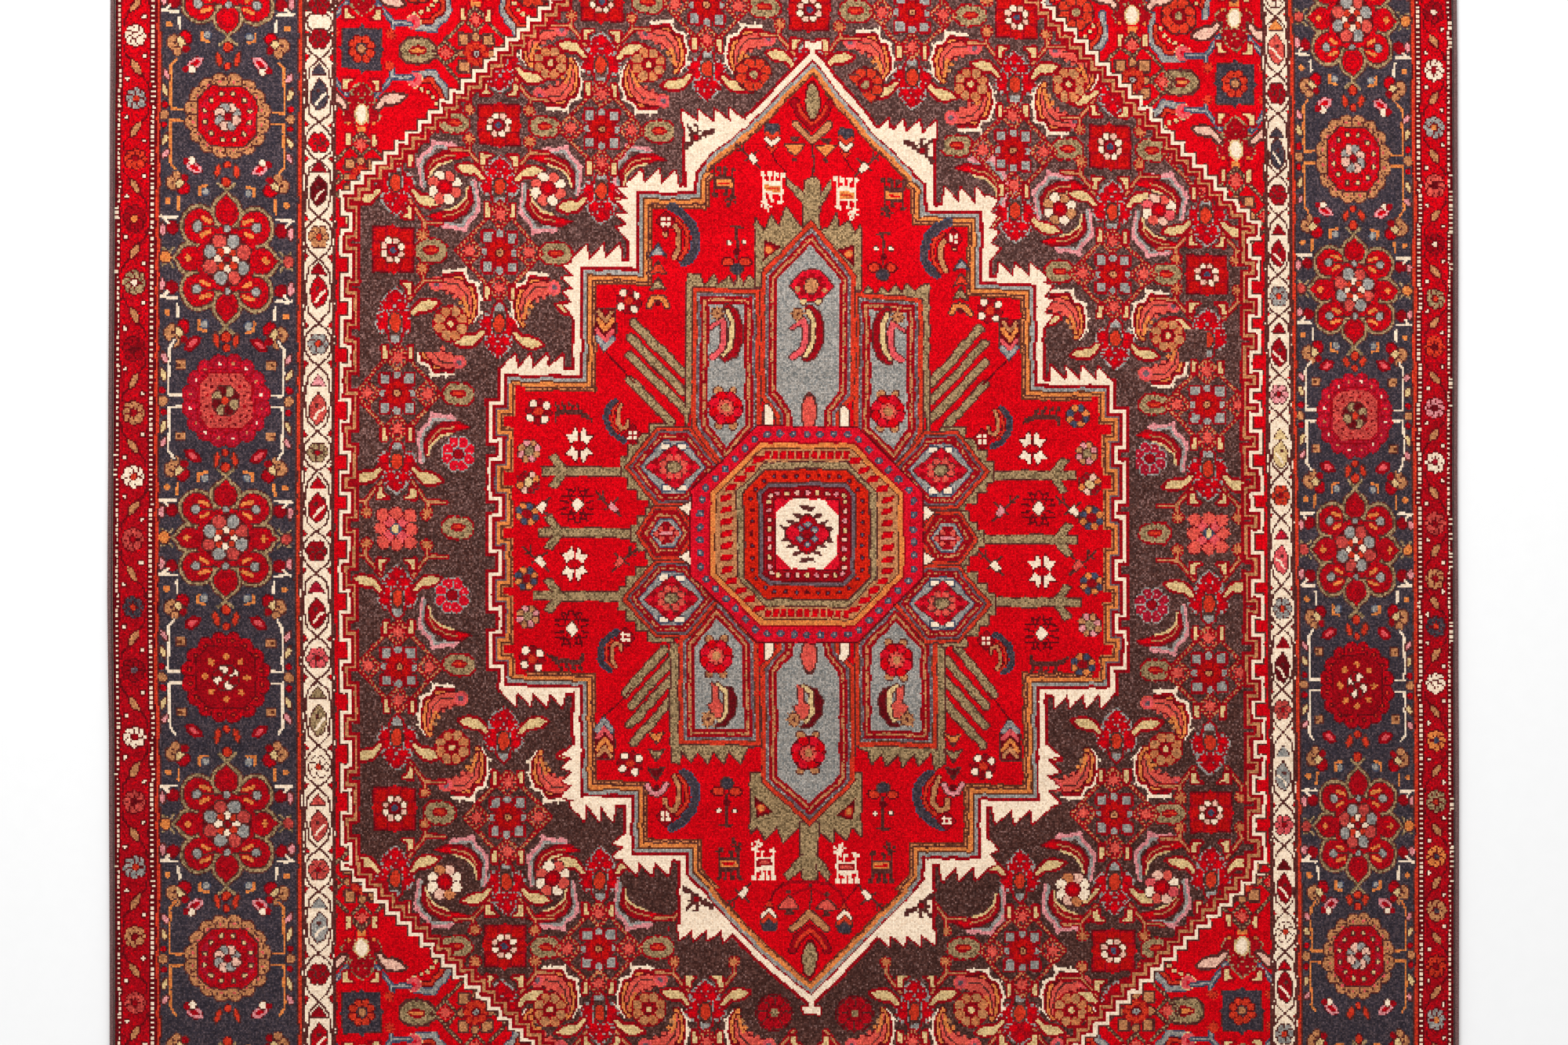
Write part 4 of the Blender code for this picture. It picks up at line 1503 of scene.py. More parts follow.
# The slanting olive bars as seen: (left end, right end).
SLANTS = (((-107, 128), (-76, 97)), ((-109, 119), (-76, 86)), ((-109, 108), (-74, 74)),
          ((-109, 93), (-83, 67)), ((74, 91), (104, 124)), ((74, 80), (107, 115)),
          ((74, 69), (107, 103)), ((84, 66), (107, 90)), ((-112, -97), (-88, -71)),
          ((-108, -105), (-81, -74)), ((-109, -116), (-82, -87)), ((-107, -127), (-82, -99)),
          ((90, -70), (112, -98)), ((81, -75), (107, -105)), ((81, -88), (107, -117)),
          ((81, -101), (105, -129)))


def hexagon(half_u, half_v, flat):
    return [(-half_u, 0), (-flat, half_v), (flat, half_v), (half_u, 0), (flat, -half_v), (-flat, -half_v)]


HEX_BANDS = ((0, "flame"), (1.6, "brown"), (2.1, "mauve"), (3.3, "crimson"), (4.6, "tan"),
             (6.0, "crimson"), (7.3, "slate"), (7.9, "blue"))
SMALL_HEX_BANDS = ((0, "flame"), (1.5, "brown"), (2.0, "crimson"), (4.4, "tan"), (5.9, "crimson"),
                   (7.0, "slate"), (7.6, "blue"), (9.4, "crimson"))


# The crimson speckle in a hexagon's bands: how deep, half its width and its share of the knots.
SPECKLED_DEPTH, SPECKLED_HALF, SPECKLED_SHARE = 5.2, 0.9, 0.38


def banded(pen, shape, bands):
    """Concentric bands inside an outline, by depth, with crimson dashes along the tan one."""
    pen.poly(shape, None, "brown", 0.8)
    where, u, v = pen.window_round(shape, 1)
    depth = polygon_depth(u, v, list(shape))
    for low, wool in bands:
        pen.loom.dye(depth > low, wool, where)
    speckled = (np.abs(depth - SPECKLED_DEPTH) < SPECKLED_HALF) & (pen.loom.speckle[where] < SPECKLED_SHARE)
    pen.loom.dye(speckled, "crimson", where)


def hex_medallion(pen):
    banded(pen, hexagon(29.5, 23.6, 10), HEX_BANDS)
    for q in pen.quarters():
        q.box(4.6, 12.6, 2.4, 1.6, "ivory", "slate", 0.8)
    pen.poly([(-16.4, 0), (0, 13.4), (16.4, 0), (0, -13.4)], "rose", "brown", 0.7)
    for k in range(-2, 3):
        for m in range(-2, 3):
            if (k + m) % 2:
                u, v = (k + m) * 3.7, (k - m) * 3.0
                pen.poly([(u - 2.9, v), (u, v + 2.4), (u + 2.9, v), (u, v - 2.4)], "crimson")
    pen.beads(8, 5.8, 22.5, 2.0, "coral", "brown", 0.4, wide=1.15)
    pen.disc(0, 0, 4.6, "brown", r2=3.9)
    pen.disc(0, 0, 3.9, "olive", r2=3.2)


def small_hex(pen):
    banded(pen, hexagon(18.5, 16, 8), SMALL_HEX_BANDS)
    pen.beads(6, 4.6, 0, 1.6, "coral", "maroon", 0.4, wide=1.4, high=0.8)
    pen.path([(-3.4, 0), (3.4, 0)], 1.6, "pink")


# A panel's bands from the outside in: how much the blue outline is grown, and the wool.
PANEL_BANDS = ((10.3, "brown"), (9.6, "flame"), (7.2, "bark"), (6.7, "mauve"), (5.0, "crimson"),
               (3.4, "tan"), (1.8, "crimson"))
# The dashes along two of them: how far out, the wool and the share of the knots.
PANEL_DASHES = ((2.6, "crimson", 0.12), (6.0, "blue", 0.25))
DASH_HALF = 0.85


def panel(pen, shape):
    """A blue panel inside its bands."""
    for grow, wool in PANEL_BANDS:
        pen.poly(grown(shape, grow), wool)
    pen.poly(shape, "blue")
    for grow, wool, share in PANEL_DASHES:
        line = grown(shape, grow)
        where, u, v = pen.window_round(line, 2)
        near = np.abs(polygon_depth(u, v, line)) < DASH_HALF
        pen.loom.dye(near & (pen.loom.speckle[where] < share), wool, where)


def panel_rosette(pen):
    """A rose flower of eight petals round a coral one."""
    for q in pen.quarters():
        q.disc(4.4, 10.6, 2.2, "tan", "brown", 0.7)
    pen.disc(0, 0, 9.6, "crimson", "maroon", 0.7)
    pen.beads(8, 7.0, 22.5, 3.2, ("red", "rose"), "maroon", 0.5)
    pen.beads(8, 3.6, 0, 1.5, "coral", "maroon", 0.4)
    pen.disc(0, 0, 2.6, "tan")


def panel_bird(pen):
    pen.path([(1, 15.4), (5.2, 12), (7.2, 5), (7.2, -5), (4, -12), (-0.6, -14.4)], 4.4, "crimson",
             "brown", 0.9)
    pen.path([(0.8, 13.4), (3.2, 8), (3.6, -2), (2.0, -9), (-1.4, -13)], 2.6, "cream", "brown", 0.8)
    pen.path([(-3.2, 9), (-1.2, 2), (-1.8, -6), (-3.4, -10.4), (-8.6, -14)], 3.4, "hot_pink", "brown",
             0.8)
    pen.path([(-3.6, 7.4), (-9.6, 3.4)], 1.8, "hot_pink", "brown", 0.7)
    pen.path([(-3.2, 8.6), (-1.2, 2), (-1.8, -6)], 2.8, "hot_pink")
    little_rosette(pen, -5.6, 12, "tan", 4.4, "brown")
    pen.disc(-5.6, 12, 1.0, "bark")


def panel_cock(pen):
    pen.poly([(2, 10), (8, 9), (11, 3), (10, -6), (4, -13), (-2, -14), (4, -6), (5, 3)], "maroon",
             "brown", 0.8)
    pen.path([(0, 10.6), (4.4, 7), (4.4, -5), (1, -10)], 2.6, "cream", "brown", 0.8)
    pen.poly([(-4, 11.6), (0, 9), (-0.4, 2), (3, -1), (1.4, -8), (-2.6, -9), (-6.4, -1.6), (-3.4, 0)],
             "coral", "brown", 0.8)
    little_rosette(pen, -6.6, -9.6, "tan", 5.2, "brown")
    pen.disc(-6.6, -9.6, 1.2, "brown")


def along_octagon(half_x, half_y, cut, pitch, level_pitch=None):
    """Places spaced out along an octagon. Its level sides may have a spacing of their own."""
    outline = octagon(half_x, half_y, cut)
    for (x0, y0), (x1, y1) in zip(outline, outline[1:] + outline[:1]):
        spacing = level_pitch if level_pitch and y0 == y1 else pitch
        number = max(1, round(math.hypot(x1 - x0, y1 - y0) / spacing))
        for k in range(number):
            share = (k + 0.5) / number
            yield x0 + (x1 - x0) * share, y0 + (y1 - y0) * share


CENTRE_BANDS = ((71.0, 66.0, 40, "maroon"), (70.2, 65.2, 40, "rose"), (59.4, 56.0, 30.5, "crimson"),
                (58.4, 55.0, 30, "orange"), (55.8, 52.3, 28.6, "bark"), (55.0, 51.4, 28, "tan"),
                (42.8, 44.4, 18.2, "brown"), (42.0, 43.6, 17.8, "olive"), (38.8, 40.0, 13.6, "brown"),
                (37.6, 38.8, 13, "vermilion"), (29.8, 31.8, 6.6, "brown"), (29.0, 31.0, 6.0, "mauve"),
                (27.0, 29.0, 4.8, "maroon"), (26.2, 28.2, 4.2, "crimson"), (19.8, 21.8, 0.4, "maroon"),
                (19.2, 21.2, 0.2, "rose"), (18.8, 20.9, 8.8, "ivory"))


def centre_dots(pen, band):
    """What is dotted along one of the centre's bands, once it is laid."""
    if band == "orange":
        for u, v in along_octagon(64.6, 60.6, 36, 8.6):
            pen.disc(u, v, 1.3, "mauve", "slate", 0.9)
            pen.disc(u, v, 0.8, "blue")
    elif band == "tan":
        for u, v in along_octagon(48.8, 48, 22.6, 7.2, 4.9):
            if abs(v) > 46:
                shape, rim_width = [(-1.7, -1.9), (1.1, -2.1), (1.7, 1.9), (-1.1, 2.1)], 0.4
            else:
                shape, rim_width = [(-3.4, -2.0), (2.4, -1.1), (3.4, 2.0), (-2.4, 1.1)], 0.5
            pen.at(u, v).poly(shape, "red", "crimson", rim_width)
    elif band == "vermilion":
        for u, v in along_octagon(33.6, 35.2, 10.6, 6.6):
            pen.disc(u, v, 1.5, "maroon")
            pen.disc(u, v, 0.6, "slate")
    elif band == "crimson":
        for k, (u, v) in enumerate(along_octagon(22.8, 24.8, 2.2, 5.6)):
            pen.disc(u, v, 1.4, ("cream", "pink", "peach")[k % 3], "maroon", 0.6)


# One quarter of the stepped star in the middle: its hooked edge and its red heart.
STAR_HOOKS = (((0, 14.0), (3.0, 14.2), (5.2, 17.2), (0, 17.0)),
              ((3.0, 10.0), (4.4, 12.8), (9.2, 12.8), (7.2, 10.0)),
              ((6.6, 6.0), (8.6, 8.4), (13.0, 8.4), (11.0, 6.0)),
              ((10.4, 2.2), (12.2, 4.6), (16.6, 4.6), (14.8, 2.2)))
STAR_HEART = ((0, 12.4), (4.4, 9.6), (5.6, 7.0), (9.4, 5.6), (13.4, 1.6), (13.4, 0), (0, 0))


def centre_star(pen):
    for q in pen.quarters():
        for hook in STAR_HOOKS:
            q.poly(hook, "brown")
        q.poly(STAR_HEART, "crimson", "brown", 0.7)
    for way in (1, -1):
        pen.disc(way * 8.8, 0, 4.0, "rose", "maroon", 0.5)
        pen.poly([(-3.4, way * 7.2), (0, way * 11.0), (3.4, way * 7.2)], "red")
        pen.at(0, way * 6.2).poly([(-2.2, 0), (0, 1.8), (2.2, 0), (0, -1.8)], "blue", "slate", 0.6)
        for u in (4.6, -4.6):
            pen.at(u, way * 2.8).poly([(-1.8, 0), (0, 1.8), (1.8, 0), (0, -1.8)], "blue", "slate", 0.6)
    pen.disc(0, 0, 2.8, "crimson", "maroon", 0.6)


def centre(loom):
    pen = spot(loom, -1, -0.8)
    for half_x, half_y, cut, wool in CENTRE_BANDS:
        pen.poly(octagon(half_x, half_y, cut), wool)
        centre_dots(pen, wool)
    centre_star(pen)


ROOF_LEFT = ((-33, 150), (-33, 191), (-27.5, 183), (-23, 192), (-18.5, 185), (-14, 198), (-8, 189),
             (-3, 184), (0, 182))
ROOF_RIGHT = ((0, 182), (6, 183), (12, 186), (16, 193.5), (18, 185.5), (24, 189.5), (27, 181),
              (31, 187), (31, 148))
ROOF_FOOT = ((-36, -146), (-36, -182), (-32, -178), (-27, -186), (-20, -178), (-16, -188), (-7, -179),
             (2, -175), (6, -181), (14, -188), (15, -180), (22, -186), (26, -178), (31, -184),
             (31, -146))


STEMS = (((-3.5, 180), (-3, 214), (3, 216), (6, 214), (6.5, 180)),
         ((-6, -176), (-5, -209), (0, -213), (4, -209), (5, -176)))
STEM_BARBS = (((-3, 206), (-14, 216), (-13, 211), (-3, 199)),
              ((6, 204), (13, 214), (13, 209), (6, 198)),
              ((-4, -203), (-13, -211), (-15, -207), (-9, -199.5), (-4, -195)),
              ((4, -203), (10, -210.5), (12, -207), (9, -200), (4, -195)))


def roof_corner(pen):
    """A crimson corner with an orange dot."""
    pen.poly([(-6, 3.6), (4.6, 6.6), (5.6, -7), (1.4, -3)], "maroon")
    pen.poly([(-4, 3), (4, 5), (4.4, -4)], "crimson")
    pen.disc(1.6, 1.2, 2.0, "orange", "flame", 0.6)


def roofs(loom):
    """The olive roof over the middle panel and its stem, at the top and at the foot."""
    for shape in (ROOF_LEFT + ROOF_RIGHT, ROOF_FOOT, *STEMS):
        dye_seen(loom, shape, "olive", "brown", 0.9)
    for shape in STEM_BARBS:
        dye_seen(loom, shape, "olive", "brown", 0.7)
    dye_seen(loom, ((-3, 180), (-2.6, 213), (5.6, 213), (6, 180)), "olive")
    for line in (((2, 216), (2, 240)), ((0, -212), (0, -232))):
        Pen(loom, 0, 0).path(as_drawn(line), 1.3, "brown")
    corners = ((-23, 171, -1, 1), (22, 168, 1, 1), (-28, -166, -1, -1), (22, -168, 1, -1))
    lay_out(loom, ((roof_corner, corners),))


# The panels' blue outlines as seen.
PANELS = (
    ((-61, 139), (-39.3, 138.5), (-39, 66), (-50, 52), (-61, 66.5)),
    ((37, 135.5), (59.3, 133.5), (59.5, 63.5), (51, 50.5), (37.3, 64)),
    ((-69.5, -69), (-56, -52.5), (-40.5, -69), (-40, -119), (-69.5, -118.5)),
    ((37.5, -70), (53, -54), (68, -70), (67.5, -120.5), (37.5, -119.5)),
    ((1, 175), (-19.6, 154), (-19.8, 86), (-10.5, 74), (-10, 60), (9, 60), (9.6, 75), (18, 86),
     (18.4, 153)),
    ((-0.5, -164.5), (-19.6, -147), (-19.6, -85), (-9.5, -74), (-9, -60), (8, -60), (9, -74),
     (17.6, -85), (17.4, -147)),
)

# The steps of the olive beside a hexagon: (up to this height, out to this far).
HEX_STEPS = ((6.2, 31.8), (12.8, 27.6), (19.4, 21.4), (26.0, 14.4))
SMALL_HEX_STEPS = ((4.8, 22.0), (10, 18.0), (15.5, 13.0))


def stepped(steps):
    upper, low = [], 0
    for high, out in steps:
        upper += [(out, low), (out, high)]
        low = high
    return [(u, -v) for u, v in reversed(upper)] + upper + [(0, low), (0, -low)]


def hex_surround(pen, steps):
    pen.poly(stepped(steps), "olive", "brown", 0.8)


# The olive behind the panels, with its sawtooth edges, as seen.
SURROUNDS = (
    ((-74.5, 62), (-74.5, 157), (-67, 157), (-64, 150), (-58, 157), (-56, 150), (-49, 156),
     (-46, 150), (-43, 157), (-40, 150), (-37, 156), (-30, 150), (-30, 120), (-66, 100)),
    ((73, 60), (72.5, 151), (68, 150), (64, 146), (59, 151), (56, 145), (52, 150), (48, 145),
     (44, 149), (40, 144), (36, 150), (32, 145), (30, 146), (30, 120), (66, 100)),
    ((-84, -66), (-84, -139), (-79, -140), (-78, -131), (-72, -139), (-69, -132), (-62, -140),
     (-59, -132), (-52, -140), (-49, -132), (-42, -140), (-38, -130), (-30, -128), (-30, -100)),
    ((82, -66), (81.5, -140), (76, -144), (74, -132), (66, -141), (64, -133), (56, -142),
     (54, -134), (46, -141), (44, -133), (38, -140), (36, -132), (30, -130), (30, -100)),
)


def top_lozenge(pen):
    """The rose lozenge under the middle panel's apex."""
    pen.poly([(-13, 0), (-5, 9), (5, 9), (13, 0), (5, -9), (-5, -9)], "rose", "brown", 0.9)
    pen.beads(8, 5.6, 0, 2.0, "crimson", wide=1.25)
    for su in (1, -1):
        pen.disc(su * 4.6, -9.4, 1.8, "cream", "brown", 0.6)
        pen.disc(su * 8.4, -2.4, 1.6, "tan")
    pen.disc(0, 0, 4.0, "tan", "brown", 0.7)


def panel_oval(pen, half_v):
    pen.disc(0, 0, 4.2, "coral", "brown", 1.0, half_v)


def panel_candle(pen):
    """A white mark between two panels."""
    pen.poly([(-2.4, -6), (-2.4, 5), (0, 6), (2.4, 3), (2.6, -6)], "ivory", "brown", 1.0)


def white_wedge(pen):
    pen.poly([(-3.4, 0), (3.6, 4.6), (3.8, -4.6)], "ivory", "brown", 0.8)


# The motifs of the hexagons and the panels: each one, its places, and what else it needs.
HEX_MOTIFS = (
    (hex_medallion, ((-82, 40), (80, 38), (-83, -40), (81, -43))),
    (small_hex, ((-86.5, 0), (84, -3))),
    (white_wedge, ((-75, 15), (-75, -14.5), (73, 12, -1), (73, -16, -1))),
)
HEX_SURROUNDS = (
    (hex_surround, ((-82, 40, -1), (-83, -40, -1)), HEX_STEPS),
    (hex_surround, ((-86, 0, -1),), SMALL_HEX_STEPS),
    (hex_surround, ((80, 38), (81, -43)), HEX_STEPS),
    (hex_surround, ((84, -3),), SMALL_HEX_STEPS),
)
PANEL_MOTIFS = (
    (panel_bird, ((-50, 121), (-1, 121), (48, 119, -1))),
    (panel_cock, ((-55, -103), (-3, -104), (53, -104, -1))),
    (panel_rosette, ((-50.5, 76), (48, 74), (-56, -75), (53, -77), (-1, -133))),
    (top_lozenge, ((1, 150),)),
    (panel_oval, ((0, 73),), 10.5),
    (panel_oval, ((0, -74),), 9.5),
    (panel_candle, ((-25, 72), (22, 71), (-24.5, -71, 1, -1), (21.5, -72, 1, -1))),
)


def upright_flower(pen, wool):
    pen.poly([(-4.4, -2.6), (0, 4.6), (4.4, -2.6), (0, -0.8)], wool, "brown", 0.9)
    pen.disc(0, 3.6, 1.2, "brown")


def arched_flower(pen, wool):
    pen.path([(-5.6, -3), (-3, 1.4), (0, 2.2), (3, 1.4), (5.6, -3)], 2.6, wool, "brown", 0.9)
    pen.disc(0, -1.4, 1.8, "maroon")


def slate_flower(pen):
    pen.poly([(-5, -3), (0, 5), (5, -3), (0, -0.5)], "slate", "brown", 0.8)
    pen.poly([(-3.4, -1.6), (0, 3), (3.4, -1.6)], "blue")


def tip_ends(pen):
    """The ivory end of each tip of the medallion."""
    pen.box(0, 1, 5, 2.2, "ivory", "crimson", 1.0)
    pen.box(0, -3, 1.6, 4, "ivory")


WHITE_BODY = {"W": "ivory", "O": "orange", "F": "flame"}
LOW_WHITE_BODY = {"W": "ivory", "O": "crimson", "F": "coral"}
DARK_BODY = {"W": "brown", "O": "orange", "F": "red"}

# Crimson arcs round the foot's stem, from its middle outwards, and stems of the tall palmettes.
OUTER_ARCS = (((-1, -211), (10, -212), (18, -217), (21, -226)),
              ((-1, -211), (-12, -212), (-22, -217), (-25, -226)))
INNER_ARCS = (((-1, -215), (5, -217), (12, -222)), ((-1, -215), (-7, -217), (-14, -222)))
STEM_LINES = (((-123, 110), (-106, 91)), ((120, 105), (106, 90)), ((-124, -111), (-108, -94)),
              ((122, -113), (108, -96)))
# The small motifs of the medallion's ground: each one, its places, and what else it needs.
GROUND_MOTIFS = (
    (cap_flower, ((-23, 240), (22, 237), (-25, -233, 1, -1), (21, -234, 1, -1))),
    (cup_flower, ((-9, 233), (10, 232)), "orange"),
    (cup_flower, ((-13, -224, 1, -1), (10, -225, 1, -1)), "coral"),
    (twig_flower, ((-35, 227), (33, 222, -1), (-41, -218, 1, -1), (35, -220, -1, -1),
                   (-162, 16, 1, -1), (161, 13), (-163.5, -17.5), (113, -20)), "ivory"),
    (twig_flower, ((-119, 15.5), (117, 13, -1)), "pink"),
    (twig_flower, ((-114, -17.5, -1), (163.5, -20, -1)), "coral"),
    (Pen.chart, ((-22.5, 207), (22.5, 203, -1)), ANIMAL, WHITE_BODY, 1.4),
    (Pen.chart, ((-28, -198, 1, -1), (22.5, -200, 1, -1)), ANIMAL, LOW_WHITE_BODY, 1.4),
    (Pen.chart, ((-52.5, 210, -1), (51.5, 202.5), (-49, -198, -1, -1), (43.5, -199.5, -1, -1)),
     ANIMAL, DARK_BODY, 1.4),
    (tongue_flower, ((-44.5, 171), (44.5, 167), (-50.5, -163, 1, -1), (44.5, -165, 1, -1))),
    (crescent, ((-76, 180), (76, 172, -1), (-76, -161, 1, -1), (72, -161, -1, -1),
                (-118, 69, -0.7, -0.7), (117, 65, 0.7, -0.7), (-122, -72, -0.7, 0.7),
                (118.5, -74, 0.7, 0.7))),
    (diamond_flower, ((-87.5, 189.5), (87, 179), (-88, -172), (83, -175), (-107, 59.5),
                      (105, 57.5), (-111, -63), (107.5, -65))),
    (slate_flower, ((-92, 171), (92, 162))),
    (upright_flower, ((-92, 160), (92, 152.5)), "flame"),
    (upright_flower, ((-92, 150.5), (92, 144)), "olive"),
    (arched_flower, ((-92, 141), (92, 136)), "orange"),
    (upright_flower, ((-93, -123.5, 1, -1), (87, -125, 1, -1)), "orange"),
    (upright_flower, ((-93, -134, 1, -1), (87, -134.5, 1, -1)), "olive"),
    (upright_flower, ((-93, -145, 1, -1), (87, -145, 1, -1)), "maroon"),
    (arched_flower, ((-93, -156, 1, -1), (87, -156, 1, -1)), "pink"),
    (dotted_flower, ((-110, 141), (109.5, 135), (-109, -140), (105.5, -142))),
    (tall_palmette, ((-124, 124), (121.5, 118), (-124.5, -125, 1, -1), (122, -126, 1, -1))),
)
SIDE_MOTIFS = (
    (eight_star, ((-139, 53.5), (136, 51.5), (-142, -19), (141.5, -23.5))),
    (lozenge_star, ((-140.5, 17), (139.5, 14.5), (-144, -58), (141, -61))),
    (side_rosette, ((-171, 12), (171.5, 9), (-171.5, -28), (171.5, -31), (163, 71), (166, -80)),
     ("orange", "slate"), "crimson"),
    (side_rosette, ((-170, 50), (169, 48), (-170.5, -51), (170.5, -56)), ("pink", "tan"), "olive"),
    (side_rosette, ((-170, 31), (171, 29.5)), ("orange", "peach", "crimson", "crimson"), "cream"),
    (dotted_flower, ((-164, 74), (-168, -76))),
    (Pen.chart, ((-143, 73), (141, 71, -1), (-148, -78, -1, -1), (146, -80, 1, -1)), RUNNER,
     {"N": "brown"}, 1.45),
    (Pen.chart, ((-67, 240, 1, -1), (67, 232, -1, -1), (-68, -222), (66, -226, -1)), BEAST,
     {"N": "brown", "R": "crimson"}, 1.55),
    (tip_ends, ((2, 295), (1, -289, 1, -1))),
)


def dye_medallion_ground(loom):
    lay_out(loom, ((finial, ((1.5, 261),), 1), (finial, ((-0.5, -257, 1, -1),), 5)))
    pen = Pen(loom, 0, 0)
    for width, arcs in ((1.8, OUTER_ARCS), (1.2, INNER_ARCS)):
        for arc in arcs:
            pen.path(as_drawn(arc), width, "crimson")
    lay_out(loom, GROUND_MOTIFS)
    for line in STEM_LINES:
        pen.path(as_drawn(line), 1.1, "maroon")
    lay_out(loom, SIDE_MOTIFS)


def dye_medallion(loom):
    pen = Pen(loom, 0, 0)
    dye_medallion_frame(loom)
    for bar in SLANTS:
        pen.path(as_drawn(bar), 4.4, "olive", "brown", 0.8)
    for bar in FORK_BARS:
        fork_bar(loom, *bar)
    for shape in SURROUNDS:
        dye_seen(loom, shape, "olive", "brown", 0.9)
    lay_out(loom, HEX_SURROUNDS)
    roofs(loom)
    for shape in PANELS:
        panel(pen, as_drawn(shape))
    lay_out(loom, PANEL_MOTIFS)
    lay_out(loom, HEX_MOTIFS)
    centre(loom)
    dye_medallion_ground(loom)


def dye_field(loom):
    """The red spandrels with their flowers, then the dark field inside its stepped frame."""
    within = np.zeros((ROWS, COLUMNS), bool)
    for side, here, depth, _ in border_sides(loom):
        within |= here & (depth > SIDES[side]["ivory"][1] + BROWN_LINE)
    loom.dye(within, "red")
    border = loom.knots.copy()
    dye_spandrels(loom)
    loom.knots[~within] = border[~within]
    depth = loom.outline_depth(field_outline())
    around = loom.knots.copy()
    loom.dye(depth > 0, "charcoal")
    dye_lattice(loom)
    loom.knots[depth < FRAME_DEPTH] = around[depth < FRAME_DEPTH]
    dye_bands(loom, depth, FIELD_BANDS)


def weave():
    loom = Loom()
    dye_borders(loom)
    dye_field(loom)
    dye_medallion(loom)
    loom.redye("charcoal", "umber", eased(UMBER, loom.y))
    return loom


# ------------------------------------------------------------------ the blocks

PILE_TOP = 0.0105
WEB_TOP = 0.0030
PILE_SIDE = 0.0010  # from the cloth's side to the pile's
PILE_END = 1.482  # where the last row of knots stands
CLOTH_END = 1.5
WAVE = 0.00025  # how unevenly the pile is clipped
PACKING = 32.0  # wools that fit in one digit of a packed number
NEAR = 1e-4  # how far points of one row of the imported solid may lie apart
PILE_SHARP = 55  # degrees past which an edge shows as one
CLOTH_SHARP = 60
BLOCK_SPLITS_X = (0, 102, 204)
BLOCK_SPLITS_Y = (0, 101, 203, 304)
BLOCK_NAMES = (("foot_left", "foot_right"), ("middle_left", "middle_right"),
               ("head_left", "head_right"))

# The pile's edge from its top to the web: (outwards, height).
PILE_FOOT = 0.0029
EDGE_PROFILE = ((-0.0028, PILE_TOP), (-0.0012, 0.0100), (-0.0002, 0.0087), (0.0, 0.0070),
                (0.0, PILE_FOOT))
SEAM_PROFILE = ((0.0, PILE_TOP), (0.0, PILE_FOOT))

# The flat layouts: (start, size) of the room across and up that each thing gets.
TOP_ROOM = ((0.005, 0.99), (0.02, 0.975))
UNDERSIDE_ROOM = ((0.01, 0.01), (0.005, 0.01))
WEB_ROOM = (0.01, 0.98)
FOOT_ROOM = (0.01, 0.45)
HIDDEN_ROOM = (0.48, 0.04)
HEAD_ROOM = (0.54, 0.45)


def placed(share, room):
    start, size = room
    return start + size * share


def cloth_sides(node):
    """(places along the length, left side, right side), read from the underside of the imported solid."""
    points = np.array([tuple(v.co) for v in node.data.vertices])
    points = points[points[:, 2] < NEAR]
    along = np.unique(np.round(points[:, 1], 4))
    rows = [points[np.abs(points[:, 1] - y) < 2 * NEAR, 0] for y in along]
    return along, np.array([row.min() for row in rows]), np.array([row.max() for row in rows])


CLOTH_SIDES = cloth_sides(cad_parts["rug_cloth"])


def side_at(which, y):
    along, left, right = CLOTH_SIDES
    return np.interp(y, along, left if which == "left" else right)


def grid_lines(first, last, total):
    """Grid lines across a block: (blocks from the rug's edge, outwards, height), edge profiles and all."""
    low = EDGE_PROFILE if first == 0 else SEAM_PROFILE
    high = EDGE_PROFILE if last == total else SEAM_PROFILE
    lines = [(first, -out, height) for out, height in reversed(low)]
    lines += [(k, 0.0, PILE_TOP) for k in range(first + 1, last)]
    return lines + [(last, out, height) for out, height in high]


def pile_waves(x, y):
    """The slow unevenness of the clipped surface, in waves of 15 to 33 cm."""
    broad = np.sin(x * 23 + 2 * np.sin(y * 9)) * np.sin(y * 19 + 1.7)
    slanting = 0.6 * np.sin(x * 41 - y * 33)
    return WAVE * (broad + slanting) / 1.6


def pile_block(name, columns, rows, knots):
    """A closed block of pile: a grid on top with a face for each 4 by 4 knots, and a flat underside."""
    across = grid_lines(*columns, COLUMNS // BLOCK)
    along = grid_lines(*rows, ROWS // BLOCK)
    column, out_x, height_x = (np.array(values, float) for values in zip(*across))
    row, out_y, height_y = (np.array(values, float) for values in zip(*along))
    y = (PILE_END * (2 * row * BLOCK / ROWS - 1) + out_y)[:, None] + 0 * column
    left, right = side_at("left", y) + PILE_SIDE, side_at("right", y) - PILE_SIDE
    x = left + (right - left) * column * BLOCK / COLUMNS + out_x
    top = np.minimum(height_x[None, :], height_y[:, None])
    z = top + np.where(top >= PILE_TOP, pile_waves(x, y) - WAVE, 0)
    wide, high = len(across), len(along)
    corners = np.stack([x, y, z], axis=-1).reshape(-1, 3)
    start = (np.arange(high - 1)[:, None] * wide + np.arange(wide - 1)).reshape(-1)
    quads = np.stack([start, start + 1, start + wide + 1, start + wide], axis=1)
    rim = list(range(wide)) + list(range(2 * wide - 1, wide * high, wide))
    rim += list(range(wide * high - 2, wide * (high - 1) - 1, -1))
    rim += list(range(wide * (high - 2), 0, -wide))
    faces = quads.tolist() + [rim[::-1]]

    mesh = bpy.data.meshes.new(name)
    mesh.from_pydata(corners.tolist(), [], faces)
    block_x = np.clip(np.minimum(column[:-1], column[1:]), columns[0], columns[1] - 1)
    block_y = np.clip(np.minimum(row[:-1], row[1:]), rows[0], rows[1] - 1)
    add_knots(mesh, block_x.astype(int), block_y.astype(int), knots)
    add_maps(mesh, quads, rim, (column, row), (block_x, block_y), (x, y))
    mesh.materials.append(MATERIALS["pile"])
    merge_corners(mesh)
    mesh.set_sharp_from_angle(angle=math.radians(PILE_SHARP))
    return linked(name, mesh)


